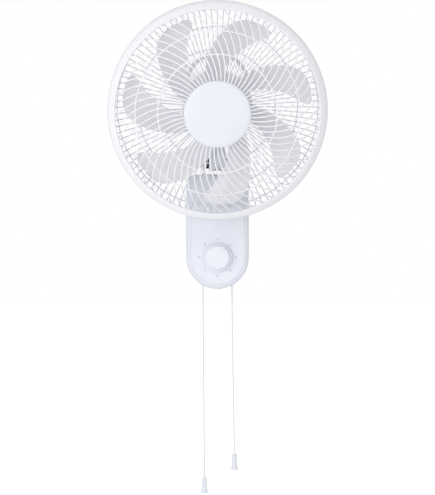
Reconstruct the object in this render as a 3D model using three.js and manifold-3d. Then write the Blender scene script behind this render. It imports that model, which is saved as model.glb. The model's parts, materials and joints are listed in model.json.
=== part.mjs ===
// A wall mounted fan: a rounded control box on the wall, a tilting neck, a motor head that
// swings left and right, a seven-blade propeller inside two wire-like moulded guards, a timer
// dial and two pull cords.
//
// Millimetres. +X is to the right seen from the front, +Z is up, the wall is the plane y = 0
// and the fan faces -Y. The origin is the middle of the wall plate's back face.

import * as THREE from 'three';
import Module from 'manifold-3d';
import { mergeVertices } from 'three/addons/utils/BufferGeometryUtils.js';

const wasm = await Module();
wasm.setup();

// ---------------------------------------------------------------- driving dimensions

// Fits between neighbouring pieces.
const SEAT_GAP = 0.3;
const RUNNING_GAP = 0.1;

// Control box.
const BODY_WIDTH = 110;
const BODY_TOP_Z = 100;
const BODY_TOP_CORNER = 16;
const BODY_BACK_Y = -1;
const BODY_SPLIT_Y = -24;
const BODY_FRONT_Y = -70;
const BODY_WALL = 2.5;
const BODY_EDGE = 9;
const BODY_DRAFT = 1.4;
const SCREW_RADIUS = 1.4;
const DIAL_Z = -45;

// Wall plate.
const PLATE_WIDTH = 84;
const PLATE_HEIGHT = 130;
const PLATE_THICKNESS = 2.5;
const PLATE_POCKET = 7.5;
const HOOK_X = 27;
const HOOK_WIDTH = 14;
const HOOK_Z = 30;

// Timer dial.
const DIAL_RADIUS = 25;
const DIAL_HEIGHT = 17;
const DIAL_SHAFT_RADIUS = 3;
const TIMER_RADIUS = 22;
const TIMER_DEPTH = 22;

// Pull cords and the switches that they work.
const CORD_X = 25.2;
const CORD_Y = -34;
const CORD_RADIUS = 1;
const SWITCH_Z = -48;
const DRUM_RADIUS = 5.7;
const DRUM_LENGTH = 8;
const SPEED_CORD_END = [-22.8, -34, -427.5];
const SWING_CORD_END = [29.6, -34, -386.7];
const BELL_LENGTH = 27.5;
const BELL_RADIUS = 4.35;
const BELL_MOUTH_RADIUS = 6.25;

// Tilt joint, on top of the box.
const TILT_Y = -50;
const TILT_Z = 118;
const TILT_AT_REST = 11;
const TONGUE_HALF_WIDTH = 14.4;
const TONGUE_RADIUS = 12.5;
const CHEEK_INNER_X = 20.7;
const CHEEK_THICKNESS = 5;
const CHEEK_RADIUS = 13;
const TILT_BOLT_RADIUS = 4;

// Motor head, measured from the point where the swing pin's axis meets the motor's axis.
const HEAD_REACH = 68;
const HEAD_RISE = 111;
const MOTOR_RADIUS = 55;
const MOTOR_WALL = 2.5;
const MOTOR_FRONT_Y = -39;
const MOTOR_SPLIT_Y = -20;
const MOTOR_BACK_Y = 64.5;
const SHAFT_RADIUS = 4;
const SHAFT_FRONT_Y = -126;
const SHAFT_BACK_Y = 22;
const STATOR_RADIUS = 38;
const STATOR_LENGTH = 30;
const ROTOR_RADIUS = 20.5;
const BEARING_RADIUS = 9;
const BEARING_LENGTH = 8;
const NOSE_RADIUS = 20;
const NOSE_LENGTH = 15;

// Swing joint and its drive.
const PIN_RADIUS = 4.5;
const PIN_BOTTOM_Z = -95;
const BUSH_WALL = 3;
const COLLAR_RADIUS = 19;
const COLLAR_TOP_Z = -49;
const COLLAR_THICKNESS = 4;
const COLLAR_WELL_RADIUS = 21;
const STUD_X = 16;
const STUD_RADIUS = 2;
const STUD_PLAY = 2.6;
const CRANK_Y = 34;
const CRANK_THROW = 10.3;
const CRANK_RADIUS = 13.5;
const CRANK_PIN_RADIUS = 2.5;
const SWING_MOTOR_RADIUS = 17;
const SWING_MOTOR_Y = 38;

// Guards. The hub cap's face is the frontmost plane of the head.
const CAP_FACE_Y = -150;
const CAP_RADIUS = 54.3;
const CAP_RIM = 2.7;
const GUARD_RADIUS = 180;
const RIM_INNER_RADIUS = 168;
const INNER_RING_RADIUS = 96;
const OUTER_RING_RADIUS = 133;
const FRONT_RIB_COUNT = 60;
const FRONT_RIB_WIDTH = 2.4;
const FRONT_RIB_DEPTH = 3.6;
const FRONT_RIB_SWEEP = 28;
const FRONT_DOME_DEPTH = 34;
const FRONT_DOME_START = 80;
const HUB_RING_WIDTH = 9;
const REAR_RIB_COUNT = 100;
const REAR_RIB_WIDTH = 1.8;
const REAR_RIB_DEPTH = 3.4;
const REAR_PAN_Y = -41;
const GUARD_PLATE = 4;
const REAR_CORNER_RADIUS = 26;
const REAR_RIM_BACK_Y = -84;
const REAR_RIM_FRONT_Y = -103;
const FRONT_RIM_Y = -117;
const FRONT_SKIRT_BACK_Y = -91;

// Propeller.
const BLADE_COUNT = 7;
const BLADE_TIP_RADIUS = 150;
const BLADE_HUB_RADIUS = 38;
const BLADE_HUB_FRONT_Y = -116;
const BLADE_HUB_BACK_Y = -70;
const BLADE_THICKNESS = 2.4;
const BLADE_ANGLE_WIDTH = 27.5;
const BLADE_SWEEP_PER_MM = 0.338;
const BLADE_ROOT_ANGLE = 55;
const BLADE_PITCH_RISE = 31;
const SPINNER_RADIUS = 20;

// Handle above the motor.
const HANDLE_CENTRE_Z = 33;
const HANDLE_OUTER_RADIUS = 54;
const HANDLE_BAND = 6;
const HANDLE_WIDTH = 15;
const HANDLE_Y = 2;

const FINE = 30;
const ROUND = 16;
const SMALL = 8;

const rad = THREE.MathUtils.degToRad;

// ---------------------------------------------------------------- materials

const material = (color, roughness, metalness = 0) =>
  new THREE.MeshStandardMaterial({ color, roughness, metalness });

const whitePlastic = material(0xe9edf5, 0.42);
const dialPlastic = material(0xeef1f8, 0.35);
const guardPlastic = material(0xf1f2f7, 0.4);
const bladePlastic = material(0xdcdde1, 0.3);
const cordFibre = material(0xd9dbe0, 0.8);
const plainSteel = material(0x9da0a5, 0.35, 1);
const zincSteel = material(0xb9bcc0, 0.4, 1);
const castAluminium = material(0xb4b7ba, 0.5, 1);
const copperWire = material(0xb06a35, 0.4, 1);
const bronze = material(0xa07a3c, 0.45, 1);
const blackPlastic = material(0x1c1c1e, 0.6);
const greyPlastic = material(0x8c8f94, 0.55);

// ---------------------------------------------------------------- shape helpers

// Only positions, shared corners merged, and no triangle that has lost its area.
function closed(geometry) {
  geometry.deleteAttribute('normal');
  geometry.deleteAttribute('uv');
  const merged = mergeVertices(geometry, 1e-4);
  const index = merged.index.array;
  const kept = [];
  for (let i = 0; i < index.length; i += 3) {
    const [a, b, c] = [index[i], index[i + 1], index[i + 2]];
    if (a !== b && b !== c && c !== a) kept.push(a, b, c);
  }
  merged.setIndex(kept);
  return merged;
}

function toSolid(geometry) {
  const merged = closed(geometry.clone());
  return new wasm.Manifold(new wasm.Mesh({
    numProp: 3,
    vertProperties: new Float32Array(merged.attributes.position.array),
    triVerts: new Uint32Array(merged.index.array),
  }));
}

function toGeometry(solid) {
  const mesh = solid.getMesh();
  const geometry = new THREE.BufferGeometry();
  geometry.setAttribute('position', new THREE.BufferAttribute(mesh.vertProperties, 3));
  geometry.setIndex(new THREE.BufferAttribute(mesh.triVerts, 1));
  return geometry;
}

const join = (first, ...rest) =>
  toGeometry(rest.reduce((sum, piece) => sum.add(toSolid(piece)), toSolid(first)));

const cut = (base, ...tools) =>
  toGeometry(tools.reduce((left, tool) => left.subtract(toSolid(tool)), toSolid(base)));

// A turned solid about the Y axis from a profile of [radius, height] points. The profile starts
// and ends on the axis, or is closed into a ring.
function turned(profile, segments = ROUND) {
  const points = profile.map(([r, h]) => new THREE.Vector2(r, h));
  if (THREE.ShapeUtils.area(points) < 0) points.reverse();
  if (points[0].x > 0) points.push(points[0].clone());
  return closed(new THREE.LatheGeometry(points, segments));
}

const aboutZ = (geometry) => geometry.rotateX(Math.PI / 2);
const aboutX = (geometry) => geometry.rotateZ(-Math.PI / 2);

// A plain cylinder or tube about Y between two heights, as a profile.
const rod = (radius, from, to) => [[0, from], [radius, from], [radius, to], [0, to]];
const tube = (inner, outer, from, to) => [[inner, from], [outer, from], [outer, to], [inner, to]];

function block(x0, x1, y0, y1, z0, z1) {
  const box = new THREE.BoxGeometry(Math.abs(x1 - x0), Math.abs(y1 - y0), Math.abs(z1 - z0));
  return box.translate((x0 + x1) / 2, (y0 + y1) / 2, (z0 + z1) / 2);
}

const extrude = (shape, depth, curveSegments = 8) =>
  new THREE.ExtrudeGeometry(shape, { depth, curveSegments, bevelEnabled: false });

// A shape drawn in X and Z, extruded towards the viewer from the plane y = fromY.
const extrudeForward = (shape, depth, fromY, curveSegments) =>
  extrude(shape, depth, curveSegments).rotateX(Math.PI / 2).translate(0, fromY, 0);

// A shape drawn in Y and Z, extruded along X from x = fromX.
function extrudeAcross(shape, depth, fromX, curveSegments) {
  const axes = new THREE.Matrix4().makeBasis(
    new THREE.Vector3(0, 1, 0), new THREE.Vector3(0, 0, 1), new THREE.Vector3(1, 0, 0));
  return extrude(shape, depth, curveSegments).applyMatrix4(axes).translate(fromX, 0, 0);
}

function roundedRectangle(width, height, radius) {
  const [x, y] = [width / 2 - radius, height / 2 - radius];
  const shape = new THREE.Shape();
  shape.absarc(x, y, radius, 0, Math.PI / 2);
  shape.absarc(-x, y, radius, Math.PI / 2, Math.PI);
  shape.absarc(-x, -y, radius, Math.PI, 1.5 * Math.PI);
  shape.absarc(x, -y, radius, 1.5 * Math.PI, 2 * Math.PI);
  return shape;
}

const circle = (radius, x = 0, y = 0) =>
  new THREE.Shape().absarc(x, y, radius, 0, 2 * Math.PI);

// A closed skin through loops of equal length, with a fan over the first and the last.
function loft(loops) {
  const positions = loops.flat().flatMap((p) => [p.x, p.y, p.z]);
  const count = loops[0].length;
  const index = [];
  for (let row = 0; row + 1 < loops.length; row += 1) {
    for (let i = 0; i < count; i += 1) {
      const a = row * count + i;
      const b = row * count + ((i + 1) % count);
      index.push(a, b, b + count, a, b + count, a + count);
    }
  }
  for (const [row, turn] of [[0, 1], [loops.length - 1, -1]]) {
    const centre = new THREE.Vector3();
    loops[row].forEach((p) => centre.addScaledVector(p, 1 / count));
    const tip = positions.length / 3;
    positions.push(centre.x, centre.y, centre.z);
    for (let i = 0; i < count; i += 1) {
      const a = row * count + i;
      const b = row * count + ((i + 1) % count);
      index.push(...(turn > 0 ? [tip, b, a] : [tip, a, b]));
    }
  }
  return outward(positions, index);
}

// An indexed geometry whose faces point out, whichever way round it was listed.
function outward(positions, index) {
  const point = (i) => new THREE.Vector3().fromArray(positions, 3 * i);
  let volume = 0;
  for (let i = 0; i < index.length; i += 3) {
    volume += point(index[i]).dot(point(index[i + 1]).cross(point(index[i + 2])));
  }
  const geometry = new THREE.BufferGeometry();
  geometry.setAttribute('position', new THREE.Float32BufferAttribute(positions, 3));
  geometry.setIndex(volume < 0 ? [...index].reverse() : index);
  return geometry;
}

function add(parent, name, geometry, finish) {
  const mesh = new THREE.Mesh(geometry, finish);
  mesh.name = name;
  parent.add(mesh);
  return mesh;
}

// ---------------------------------------------------------------- control box

// The box's outline in X and Z: a half circle about the dial below, two rounded corners above.
function boxOutline(inset) {
  const half = BODY_WIDTH / 2 - inset;
  const corner = Math.max(BODY_TOP_CORNER - inset, 2);
  const top = BODY_TOP_Z - inset - corner;
  const shape = new THREE.Shape();
  shape.absarc(0, DIAL_Z, half, Math.PI, 2 * Math.PI);
  shape.absarc(half - corner, top, corner, 0, Math.PI / 2);
  shape.absarc(corner - half, top, corner, Math.PI / 2, Math.PI);
  return shape;
}

// The outline as a loop of points in the plane at a given depth.
function boxLoop(inset, y) {
  const points = boxOutline(inset).extractPoints(4).shape;
  return points.map((p) => new THREE.Vector3(p.x, y, p.y));
}

// Depth and inset of the front shell's skin, from the split line to the rounded front edge.
function frontSkin(wall) {
  const straight = BODY_SPLIT_Y - SEAT_GAP - (BODY_FRONT_Y + BODY_EDGE);
  const loops = [boxLoop(wall, BODY_SPLIT_Y - SEAT_GAP)];
  for (const turn of [0, 30, 60, 90]) {
    const y = BODY_FRONT_Y + BODY_EDGE - (BODY_EDGE - wall) * Math.sin(rad(turn));
    const draft = BODY_DRAFT * (turn > 0 || straight > 0 ? 1 : 0);
    const inset = draft + wall + (BODY_EDGE - BODY_DRAFT - wall / 2) * (1 - Math.cos(rad(turn)));
    loops.push(boxLoop(inset, y));
  }
  return loft(loops);
}

const bottomEdgeZ = (x, inset = 0) =>
  DIAL_Z - Math.sqrt((BODY_WIDTH / 2 - inset) ** 2 - x ** 2);

const screwPosts = [[-38, 76], [38, 76], [-40, -58], [40, -58]];

function bodyFrontShell() {
  const cordHoles = [-CORD_X, CORD_X].map((x) =>
    aboutZ(turned(rod(4.3, -105, -80), SMALL)).translate(x, CORD_Y, 0));
  const dialHole = turned(rod(TIMER_BUSH_RADIUS + SEAT_GAP, BODY_FRONT_Y - 5, BODY_FRONT_Y + 8), ROUND)
    .translate(0, 0, DIAL_Z);
  const neckWell = block(-CHEEK_OUTER_X - 1.5, CHEEK_OUTER_X + 1.5,
    TILT_Y - CHEEK_RADIUS - 2, TILT_Y + CHEEK_RADIUS + 2, BODY_TOP_Z - 12, BODY_TOP_Z + 2);
  const shell = cut(frontSkin(0), openBehind(frontSkin(BODY_WALL)), ...cordHoles, dialHole, neckWell);
  const posts = screwPosts.map(([x, z]) =>
    turned(tube(SCREW_RADIUS + 0.2, 4, BODY_SPLIT_Y - 1, BODY_FRONT_Y + 1.5), SMALL).translate(x, 0, z));
  return join(shell, ...posts);
}

// The inner skin pushed a little through the split plane, so that the cut leaves no film.
const openBehind = (skin) => skin.translate(0, SEAT_GAP, 0);

function bodyBackShell() {
  const depth = BODY_BACK_Y - BODY_SPLIT_Y;
  const floorY = BODY_BACK_Y - PLATE_POCKET;
  const outer = extrudeForward(boxOutline(0), depth, BODY_BACK_Y);
  const inside = extrudeForward(boxOutline(BODY_WALL), depth, floorY - BODY_WALL);
  const pocket = extrudeForward(
    roundedRectangle(PLATE_WIDTH + 6, PLATE_HEIGHT + 6, 6), PLATE_POCKET + 5, BODY_BACK_Y + 5, 2);
  const windows = [-HOOK_X, HOOK_X].map((x) =>
    block(x - HOOK_WIDTH / 2 - 1, x + HOOK_WIDTH / 2 + 1, 0, -20, HOOK_Z - 4, HOOK_Z + 6));
  const glandHole = aboutZ(turned(rod(GLAND_RADIUS + SEAT_GAP, -110, -90), SMALL))
    .translate(0, GLAND_Y, 0);
  const shell = cut(outer, inside, pocket, ...windows, glandHole);
  const posts = screwPosts.map(([x, z]) =>
    turned(tube(2.2, 4.2, BODY_SPLIT_Y + SEAT_GAP, floorY - BODY_WALL + 0.5), SMALL).translate(x, 0, z));
  return join(shell, ...posts);
}

// A shell screw, driven from the front shell's side into its post.
function shellScrew(x, z) {
  const profile = [[0, BODY_SPLIT_Y - 9], [1.4, BODY_SPLIT_Y - 9], [1.4, BODY_SPLIT_Y + 9],
    [2, BODY_SPLIT_Y + 9], [2, BODY_SPLIT_Y + 11], [0, BODY_SPLIT_Y + 11]];
  return turned(profile, 8).translate(x, 0, z);
}

// The plate that is screwed to the wall, with two upturned hooks that the box hangs on.
function wallBracket() {
  const outline = roundedRectangle(PLATE_WIDTH, PLATE_HEIGHT, 6);
  for (const [x, z] of [[-30, 54], [30, 54], [0, -54]]) {
    const hole = new THREE.Path();
    hole.absarc(x, z, 3, 0, Math.PI);
    hole.absarc(x, z - 6, 3, Math.PI, 2 * Math.PI);
    outline.holes.push(hole);
  }
  const plate = extrudeForward(outline, PLATE_THICKNESS, 0, 3);
  const inner = BODY_BACK_Y - PLATE_POCKET - BODY_WALL - SEAT_GAP;
  const hooks = [-HOOK_X, HOOK_X].flatMap((x) => {
    const [left, right] = [x - HOOK_WIDTH / 2, x + HOOK_WIDTH / 2];
    return [
      block(left, right, -PLATE_THICKNESS / 2, inner - PLATE_THICKNESS, HOOK_Z, HOOK_Z + 2.5),
      block(left, right, inner, inner - PLATE_THICKNESS, HOOK_Z, HOOK_Z + 8),
    ];
  });
  return join(plate, ...hooks);
}

// ---------------------------------------------------------------- timer

const TIMER_BUSH_RADIUS = 5.5;
const TIMER_FRONT_Y = BODY_FRONT_Y + BODY_WALL + SEAT_GAP;

// The clockwork timer behind the front wall, with a threaded bush for the dial's spindle.
function timerUnit() {
  const bore = DIAL_SHAFT_RADIUS + RUNNING_GAP;
  const profile = [
    [bore, BODY_FRONT_Y - 0.5], [TIMER_BUSH_RADIUS, BODY_FRONT_Y - 0.5],
    [TIMER_BUSH_RADIUS, TIMER_FRONT_Y], [TIMER_RADIUS, TIMER_FRONT_Y],
    [TIMER_RADIUS, TIMER_FRONT_Y + TIMER_DEPTH], [bore, TIMER_FRONT_Y + TIMER_DEPTH],
  ];
  return turned(profile, ROUND).translate(0, 0, DIAL_Z);
}

function timerSpindle() {
  const front = BODY_FRONT_Y - DIAL_HEIGHT + 4;
  return turned(rod(DIAL_SHAFT_RADIUS, front, TIMER_FRONT_Y + TIMER_DEPTH - 4), ROUND)
    .translate(0, 0, DIAL_Z);
}

// The round dial: a skirt, a raised face with a soft edge, and a socket for the spindle.
function timerDial() {
  const back = BODY_FRONT_Y - 1;
  const front = BODY_FRONT_Y - DIAL_HEIGHT;
  const [rim, face] = [DIAL_RADIUS, DIAL_RADIUS - 5.5];
  const bore = DIAL_SHAFT_RADIUS + SEAT_GAP;
  const profile = [
    [rim, back], [rim, back - 7], [rim - 1.2, back - 8.5], [face + 1, back - 8.8],
    [face, front + 2], [face - 2.2, front], [0, front], [0, front + 3.5], [bore, front + 3.5],
    [bore, front + 12], [bore + 3.5, front + 12], [bore + 3.5, back - 6], [rim - 2.5, back - 6],
    [rim - 2.5, back],
  ];
  return turned(profile, FINE).translate(0, 0, DIAL_Z);
}

// ---------------------------------------------------------------- pull switches and cords

const DRUM_OFFSET = DRUM_RADIUS + SEAT_GAP + CORD_RADIUS;

// A switch case: a block with a round chamber for the drum and a slot for the cord below.
function switchCase(side) {
  const drumX = side * (CORD_X - DRUM_OFFSET);
  const cordX = side * CORD_X;
  const box = block(side * (CORD_X - 15), side * (CORD_X + 4.5),
    CORD_Y - 6.8, CORD_Y + 6.8, SWITCH_Z - 14, SWITCH_Z + 10);
  const chamber = turned(
    rod(DRUM_RADIUS + 1.2, CORD_Y - DRUM_LENGTH / 2 - 0.4, CORD_Y + DRUM_LENGTH / 2 + 0.4), ROUND)
    .translate(drumX, 0, SWITCH_Z);
  const cordSlot = block(cordX - side * 2.4, cordX + side * 2.2, CORD_Y - 2, CORD_Y + 2,
    SWITCH_Z - 20, SWITCH_Z + 4);
  const pivot = turned(rod(DRUM_AXLE_RADIUS + RUNNING_GAP, CORD_Y - 6.2, CORD_Y + 6.2), ROUND)
    .translate(drumX, 0, SWITCH_Z);
  return cut(box, chamber, cordSlot, pivot);
}

const DRUM_AXLE_RADIUS = 1.8;

// The drum that the cord pulls round, with its stub axles.
function switchDrum(side) {
  const half = DRUM_LENGTH / 2;
  const profile = [
    [0, -half - 2.2], [DRUM_AXLE_RADIUS, -half - 2.2], [DRUM_AXLE_RADIUS, -half],
    [DRUM_RADIUS, -half], [DRUM_RADIUS, half],
    [DRUM_AXLE_RADIUS, half], [DRUM_AXLE_RADIUS, half + 2.2], [0, half + 2.2],
  ];
  return turned(profile, SMALL).translate(side * (CORD_X - DRUM_OFFSET), CORD_Y, SWITCH_Z);
}

// The eyelet that guides a cord out through the bottom of the box.
function cordEyelet(side) {
  const top = bottomEdgeZ(CORD_X, BODY_WALL) + 5;
  const bottom = bottomEdgeZ(CORD_X) - 4.2;
  const profile = [
    [2.4, bottom + 1], [3, bottom], [3.6, bottom], [4, bottom + 1], [4, top], [2.4, top],
  ];
  return aboutZ(turned(profile, SMALL)).translate(side * CORD_X, CORD_Y, 0);
}

// The cord's middle line from its switch down to the bell.
function cordRoute(side, end) {
  return [
    new THREE.Vector3(side * CORD_X, CORD_Y, SWITCH_Z),
    new THREE.Vector3(side * CORD_X, CORD_Y, bottomEdgeZ(CORD_X) - 12),
    new THREE.Vector3(side * CORD_X * 0.85 + end[0] * 0.15, CORD_Y, -170),
    new THREE.Vector3(side * CORD_X * 0.5 + end[0] * 0.5, CORD_Y, -270),
    new THREE.Vector3(...end),
  ];
}

function pullCord(side, end) {
  const path = new THREE.CatmullRomCurve3(cordRoute(side, end));
  const section = new THREE.Shape();
  for (let i = 0; i < 8; i += 1) {
    const turn = (i * Math.PI) / 4;
    section[i ? 'lineTo' : 'moveTo'](CORD_RADIUS * Math.cos(turn), CORD_RADIUS * Math.sin(turn));
  }
  section.closePath();
  const settings = { steps: 20, bevelEnabled: false, extrudePath: path };
  return closed(new THREE.ExtrudeGeometry(section, settings));
}

// The small bell-shaped grip at the end of a cord: a slim barrel that flares to its mouth.
function cordBell(end) {
  const top = -SEAT_GAP;
  const profile = [
    [0, top], [2.2, top], [3.4, top - 0.8], [BELL_RADIUS, top - 2.4],
    [BELL_RADIUS, top - 0.6 * BELL_LENGTH], [BELL_RADIUS + 0.5, top - 0.75 * BELL_LENGTH],
    [BELL_MOUTH_RADIUS, top - BELL_LENGTH + 1], [BELL_MOUTH_RADIUS, top - BELL_LENGTH],
    [BELL_MOUTH_RADIUS - 1.2, top - BELL_LENGTH], [BELL_MOUTH_RADIUS - 1.8, top - BELL_LENGTH + 2.5],
    [0, top - BELL_LENGTH + 2.5],
  ];
  return aboutZ(turned(profile, ROUND)).translate(...end);
}

// ---------------------------------------------------------------- other pieces in the box

const GLAND_RADIUS = 5;
const GLAND_Y = -14;

// The rubber bush in the bottom edge that the mains lead would come in through.
function mainsCordGland() {
  const wallOut = bottomEdgeZ(0);
  const profile = [
    [2.6, wallOut - 0.8], [GLAND_RADIUS + 1.2, wallOut - 0.8], [GLAND_RADIUS + 1.2, wallOut - 0.3],
    [GLAND_RADIUS, wallOut - 0.3], [GLAND_RADIUS, wallOut + 6], [2.6, wallOut + 6],
  ];
  return aboutZ(turned(profile, SMALL)).translate(0, GLAND_Y, 0);
}

const capacitor = () => block(-46, -24, -52, -30, -8, 26);

// The terminal block, with its row of wire entries cut across.
function terminalBlock() {
  const body = block(24, 46, -46, -30, -6, 30);
  const entries = [-1, 0, 1].map((i) => block(28, 50, -40, -36, 10 + i * 11, 14 + i * 11));
  return cut(body, ...entries);
}

// ---------------------------------------------------------------- tilt joint

const CHEEK_OUTER_X = CHEEK_INNER_X + CHEEK_THICKNESS;

// The pressed fork that rises out of the box: two cheeks and the web that joins them.
function tiltFork() {
  const profile = new THREE.Shape();
  profile.absarc(TILT_Y, TILT_Z, CHEEK_RADIUS, 0, Math.PI);
  profile.lineTo(TILT_Y - CHEEK_RADIUS, 52);
  profile.lineTo(TILT_Y + CHEEK_RADIUS - 4, 30);
  profile.lineTo(TILT_Y + CHEEK_RADIUS, 30);
  const cheeks = [-CHEEK_OUTER_X, CHEEK_INNER_X].map((x) => extrudeAcross(profile, CHEEK_THICKNESS, x));
  const webY = TILT_Y + CHEEK_RADIUS;
  const web = block(-CHEEK_INNER_X - 1, CHEEK_INNER_X + 1, webY - 3, webY, 30, BODY_TOP_Z - 6);
  const backWall = BODY_BACK_Y - PLATE_POCKET - BODY_WALL - SEAT_GAP;
  const foot = block(-16, 16, webY - 1, backWall, 40, 62);
  const bore = aboutX(turned(rod(TILT_BOLT_RADIUS + SEAT_GAP, -40, 40), ROUND))
    .translate(0, TILT_Y, TILT_Z);
  return cut(join(...cheeks, web, foot), bore);
}

function tiltBolt() {
  const out = CHEEK_OUTER_X + SEAT_GAP;
  const profile = [
    [0, -out - 4], [5.5, -out - 4], [7, -out - 3], [7, -out], [TILT_BOLT_RADIUS, -out],
    [TILT_BOLT_RADIUS, out + 6], [0, out + 6],
  ];
  return aboutX(turned(profile, ROUND)).translate(0, TILT_Y, TILT_Z);
}

// The hexagon nut that sets how stiffly the head tilts.
function tiltNut() {
  const out = CHEEK_OUTER_X + SEAT_GAP;
  const hexagon = turned(rod(7.5, out, out + 5), 6);
  const bore = turned(rod(TILT_BOLT_RADIUS + SEAT_GAP, out - 1, out + 6), ROUND);
  return aboutX(cut(hexagon, bore)).translate(0, TILT_Y, TILT_Z);
}

function tiltWasher(side) {
  const [from, to] = [TONGUE_HALF_WIDTH + SEAT_GAP, CHEEK_INNER_X - SEAT_GAP];
  const profile = tube(TILT_BOLT_RADIUS + SEAT_GAP, 9, side * from, side * to);
  return aboutX(turned(profile, ROUND)).translate(0, TILT_Y, TILT_Z);
}

// The neck, about the tilt bolt: a tongue, a curved arm, the boss of the swing pin and a round
// collar on top, with the stud that the swing link pulls against.
function neck() {
  const collarTop = HEAD_RISE + COLLAR_TOP_Z;
  const collarBottom = collarTop - COLLAR_THICKNESS;
  const bossRadius = 14;
  const front = -HEAD_REACH - bossRadius;
  const back = -HEAD_REACH + bossRadius;
  const side = new THREE.Shape();
  side.absarc(0, 0, TONGUE_RADIUS, rad(-100), rad(75));
  side.bezierCurveTo(-18, 20, back + 2, 24, back, collarBottom - 8);
  side.lineTo(back, collarBottom);
  side.lineTo(front, collarBottom);
  side.lineTo(front, collarBottom - 24);
  side.bezierCurveTo(front, 8, -42, -3, -2.2, -12.3);
  const arm = extrudeAcross(side, 2 * TONGUE_HALF_WIDTH, -TONGUE_HALF_WIDTH, 6);
  const collar = turned(rod(COLLAR_RADIUS, collarBottom - 0.5, collarTop), 32);
  const stud = turned(rod(STUD_RADIUS, collarTop - 1, collarTop + 6.5), 12).translate(STUD_X, 0, 0);
  const bush = turned(rod(PIN_RADIUS + RUNNING_GAP + BUSH_WALL + SEAT_GAP, -40, 90), ROUND);
  const well = turned(rod(BUSH_WELL_RADIUS, -40, HEAD_RISE + PIN_BOTTOM_Z + CLIP_HEIGHT + 1), ROUND);
  const swing = [collar, stud, bush, well].map((g) => aboutZ(g).translate(0, -HEAD_REACH, 0));
  const bolt = aboutX(turned(rod(TILT_BOLT_RADIUS + RUNNING_GAP, -20, 20), ROUND));
  return cut(join(arm, swing[0], swing[1]), swing[2], swing[3], bolt);
}

const BUSH_WELL_RADIUS = 10;
const CLIP_HEIGHT = 6;

function swingBush() {
  const inner = PIN_RADIUS + RUNNING_GAP;
  const bottom = PIN_BOTTOM_Z + CLIP_HEIGHT + 1.3;
  return aboutZ(turned(tube(inner, inner + BUSH_WALL, bottom, COLLAR_TOP_Z - 0.5), ROUND));
}

// ---------------------------------------------------------------- motor
// From here to the handle, each piece is about the motor's axis, which is the Y axis.

function motorFrontShield() {
  const [front, back] = [MOTOR_FRONT_Y, MOTOR_SPLIT_Y];
  const [outer, inner] = [MOTOR_RADIUS, MOTOR_RADIUS - MOTOR_WALL];
  const seat = BEARING_RADIUS + SEAT_GAP;
  return turned([
    [seat, front - NOSE_LENGTH], [NOSE_RADIUS, front - NOSE_LENGTH], [NOSE_RADIUS, front],
    [outer - 4, front], [outer - 1.2, front + 1.2], [outer, front + 4], [outer, back],
    [inner, back], [inner, front + 5], [inner - 2.5, front + MOTOR_WALL],
    [seat, front + MOTOR_WALL],
  ], FINE);
}

const MOTOR_CORNER = 22;

// The rear cover's profile at a distance inside its outer face.
function coverProfile(inset) {
  const radius = MOTOR_RADIUS - inset;
  const corner = MOTOR_CORNER - inset;
  const back = MOTOR_BACK_Y - inset;
  const points = [[0, MOTOR_SPLIT_Y + SEAT_GAP], [radius, MOTOR_SPLIT_Y + SEAT_GAP]];
  for (const turn of [0, 22.5, 45, 67.5, 90]) {
    points.push([
      radius - corner + corner * Math.cos(rad(turn)),
      back - corner + corner * Math.sin(rad(turn)),
    ]);
  }
  return [...points, [0, back]];
}

// The rear cover: a round-backed cup with cooling slots, open below for the neck's collar.
function motorRearCover() {
  const inside = turned(coverProfile(MOTOR_WALL), FINE).translate(0, 0, 0);
  const mouth = turned(rod(MOTOR_RADIUS - MOTOR_WALL, MOTOR_SPLIT_Y - 2, 0), FINE);
  const well = aboutZ(turned(rod(COLLAR_WELL_RADIUS, -70, -30), 32));
  const slots = [-3, -2, -1, 0, 1, 2, 3].map((i) => {
    const half = 26 - Math.abs(i) * 3.5;
    return block(-half, half, MOTOR_BACK_Y - 8, MOTOR_BACK_Y + 2, i * 9 - 1.6, i * 9 + 1.6);
  });
  return cut(turned(coverProfile(0), FINE), inside, mouth, well, ...slots);
}

const statorCore = () => turned(
  tube(ROTOR_RADIUS + 1, STATOR_RADIUS, STATOR_FRONT_Y, STATOR_FRONT_Y + STATOR_LENGTH), 32);

const STATOR_FRONT_Y = -28;
const WINDING_LENGTH = 6;

// One end of the winding: a fat soft-edged ring against the stator's face.
function windingEnd(from, to) {
  const [inner, outer] = [ROTOR_RADIUS + 3, STATOR_RADIUS - 4];
  return turned([
    [inner, from], [outer, from], [outer, (from + 2 * to) / 3], [outer - 2, to],
    [inner + 2, to], [inner, (from + 2 * to) / 3],
  ], ROUND);
}

const rotorCore = () => turned(
  tube(SHAFT_RADIUS + SEAT_GAP, ROTOR_RADIUS, STATOR_FRONT_Y, STATOR_FRONT_Y + STATOR_LENGTH), ROUND);

const motorShaft = () => turned(rod(SHAFT_RADIUS, SHAFT_FRONT_Y, SHAFT_BACK_Y), ROUND);

const bearing = (from) => turned(
  tube(SHAFT_RADIUS + RUNNING_GAP, BEARING_RADIUS, from, from + BEARING_LENGTH), ROUND);

const REAR_SHIELD_Y = 12;

function motorRearShield() {
  const seat = BEARING_RADIUS + SEAT_GAP;
  return turned([
    [seat, REAR_SHIELD_Y], [STATOR_RADIUS + 2, REAR_SHIELD_Y],
    [STATOR_RADIUS + 2, REAR_SHIELD_Y + 3], [seat + 3, REAR_SHIELD_Y + 3],
    [seat + 3, REAR_SHIELD_Y + 8], [seat, REAR_SHIELD_Y + 8],
  ], ROUND);
}

// ---------------------------------------------------------------- swing drive

const SADDLE_HALF_WIDTH = 15;
const SADDLE_BOTTOM_Z = -41.2;
const PIN_BOSS_RADIUS = 7.2;

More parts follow.
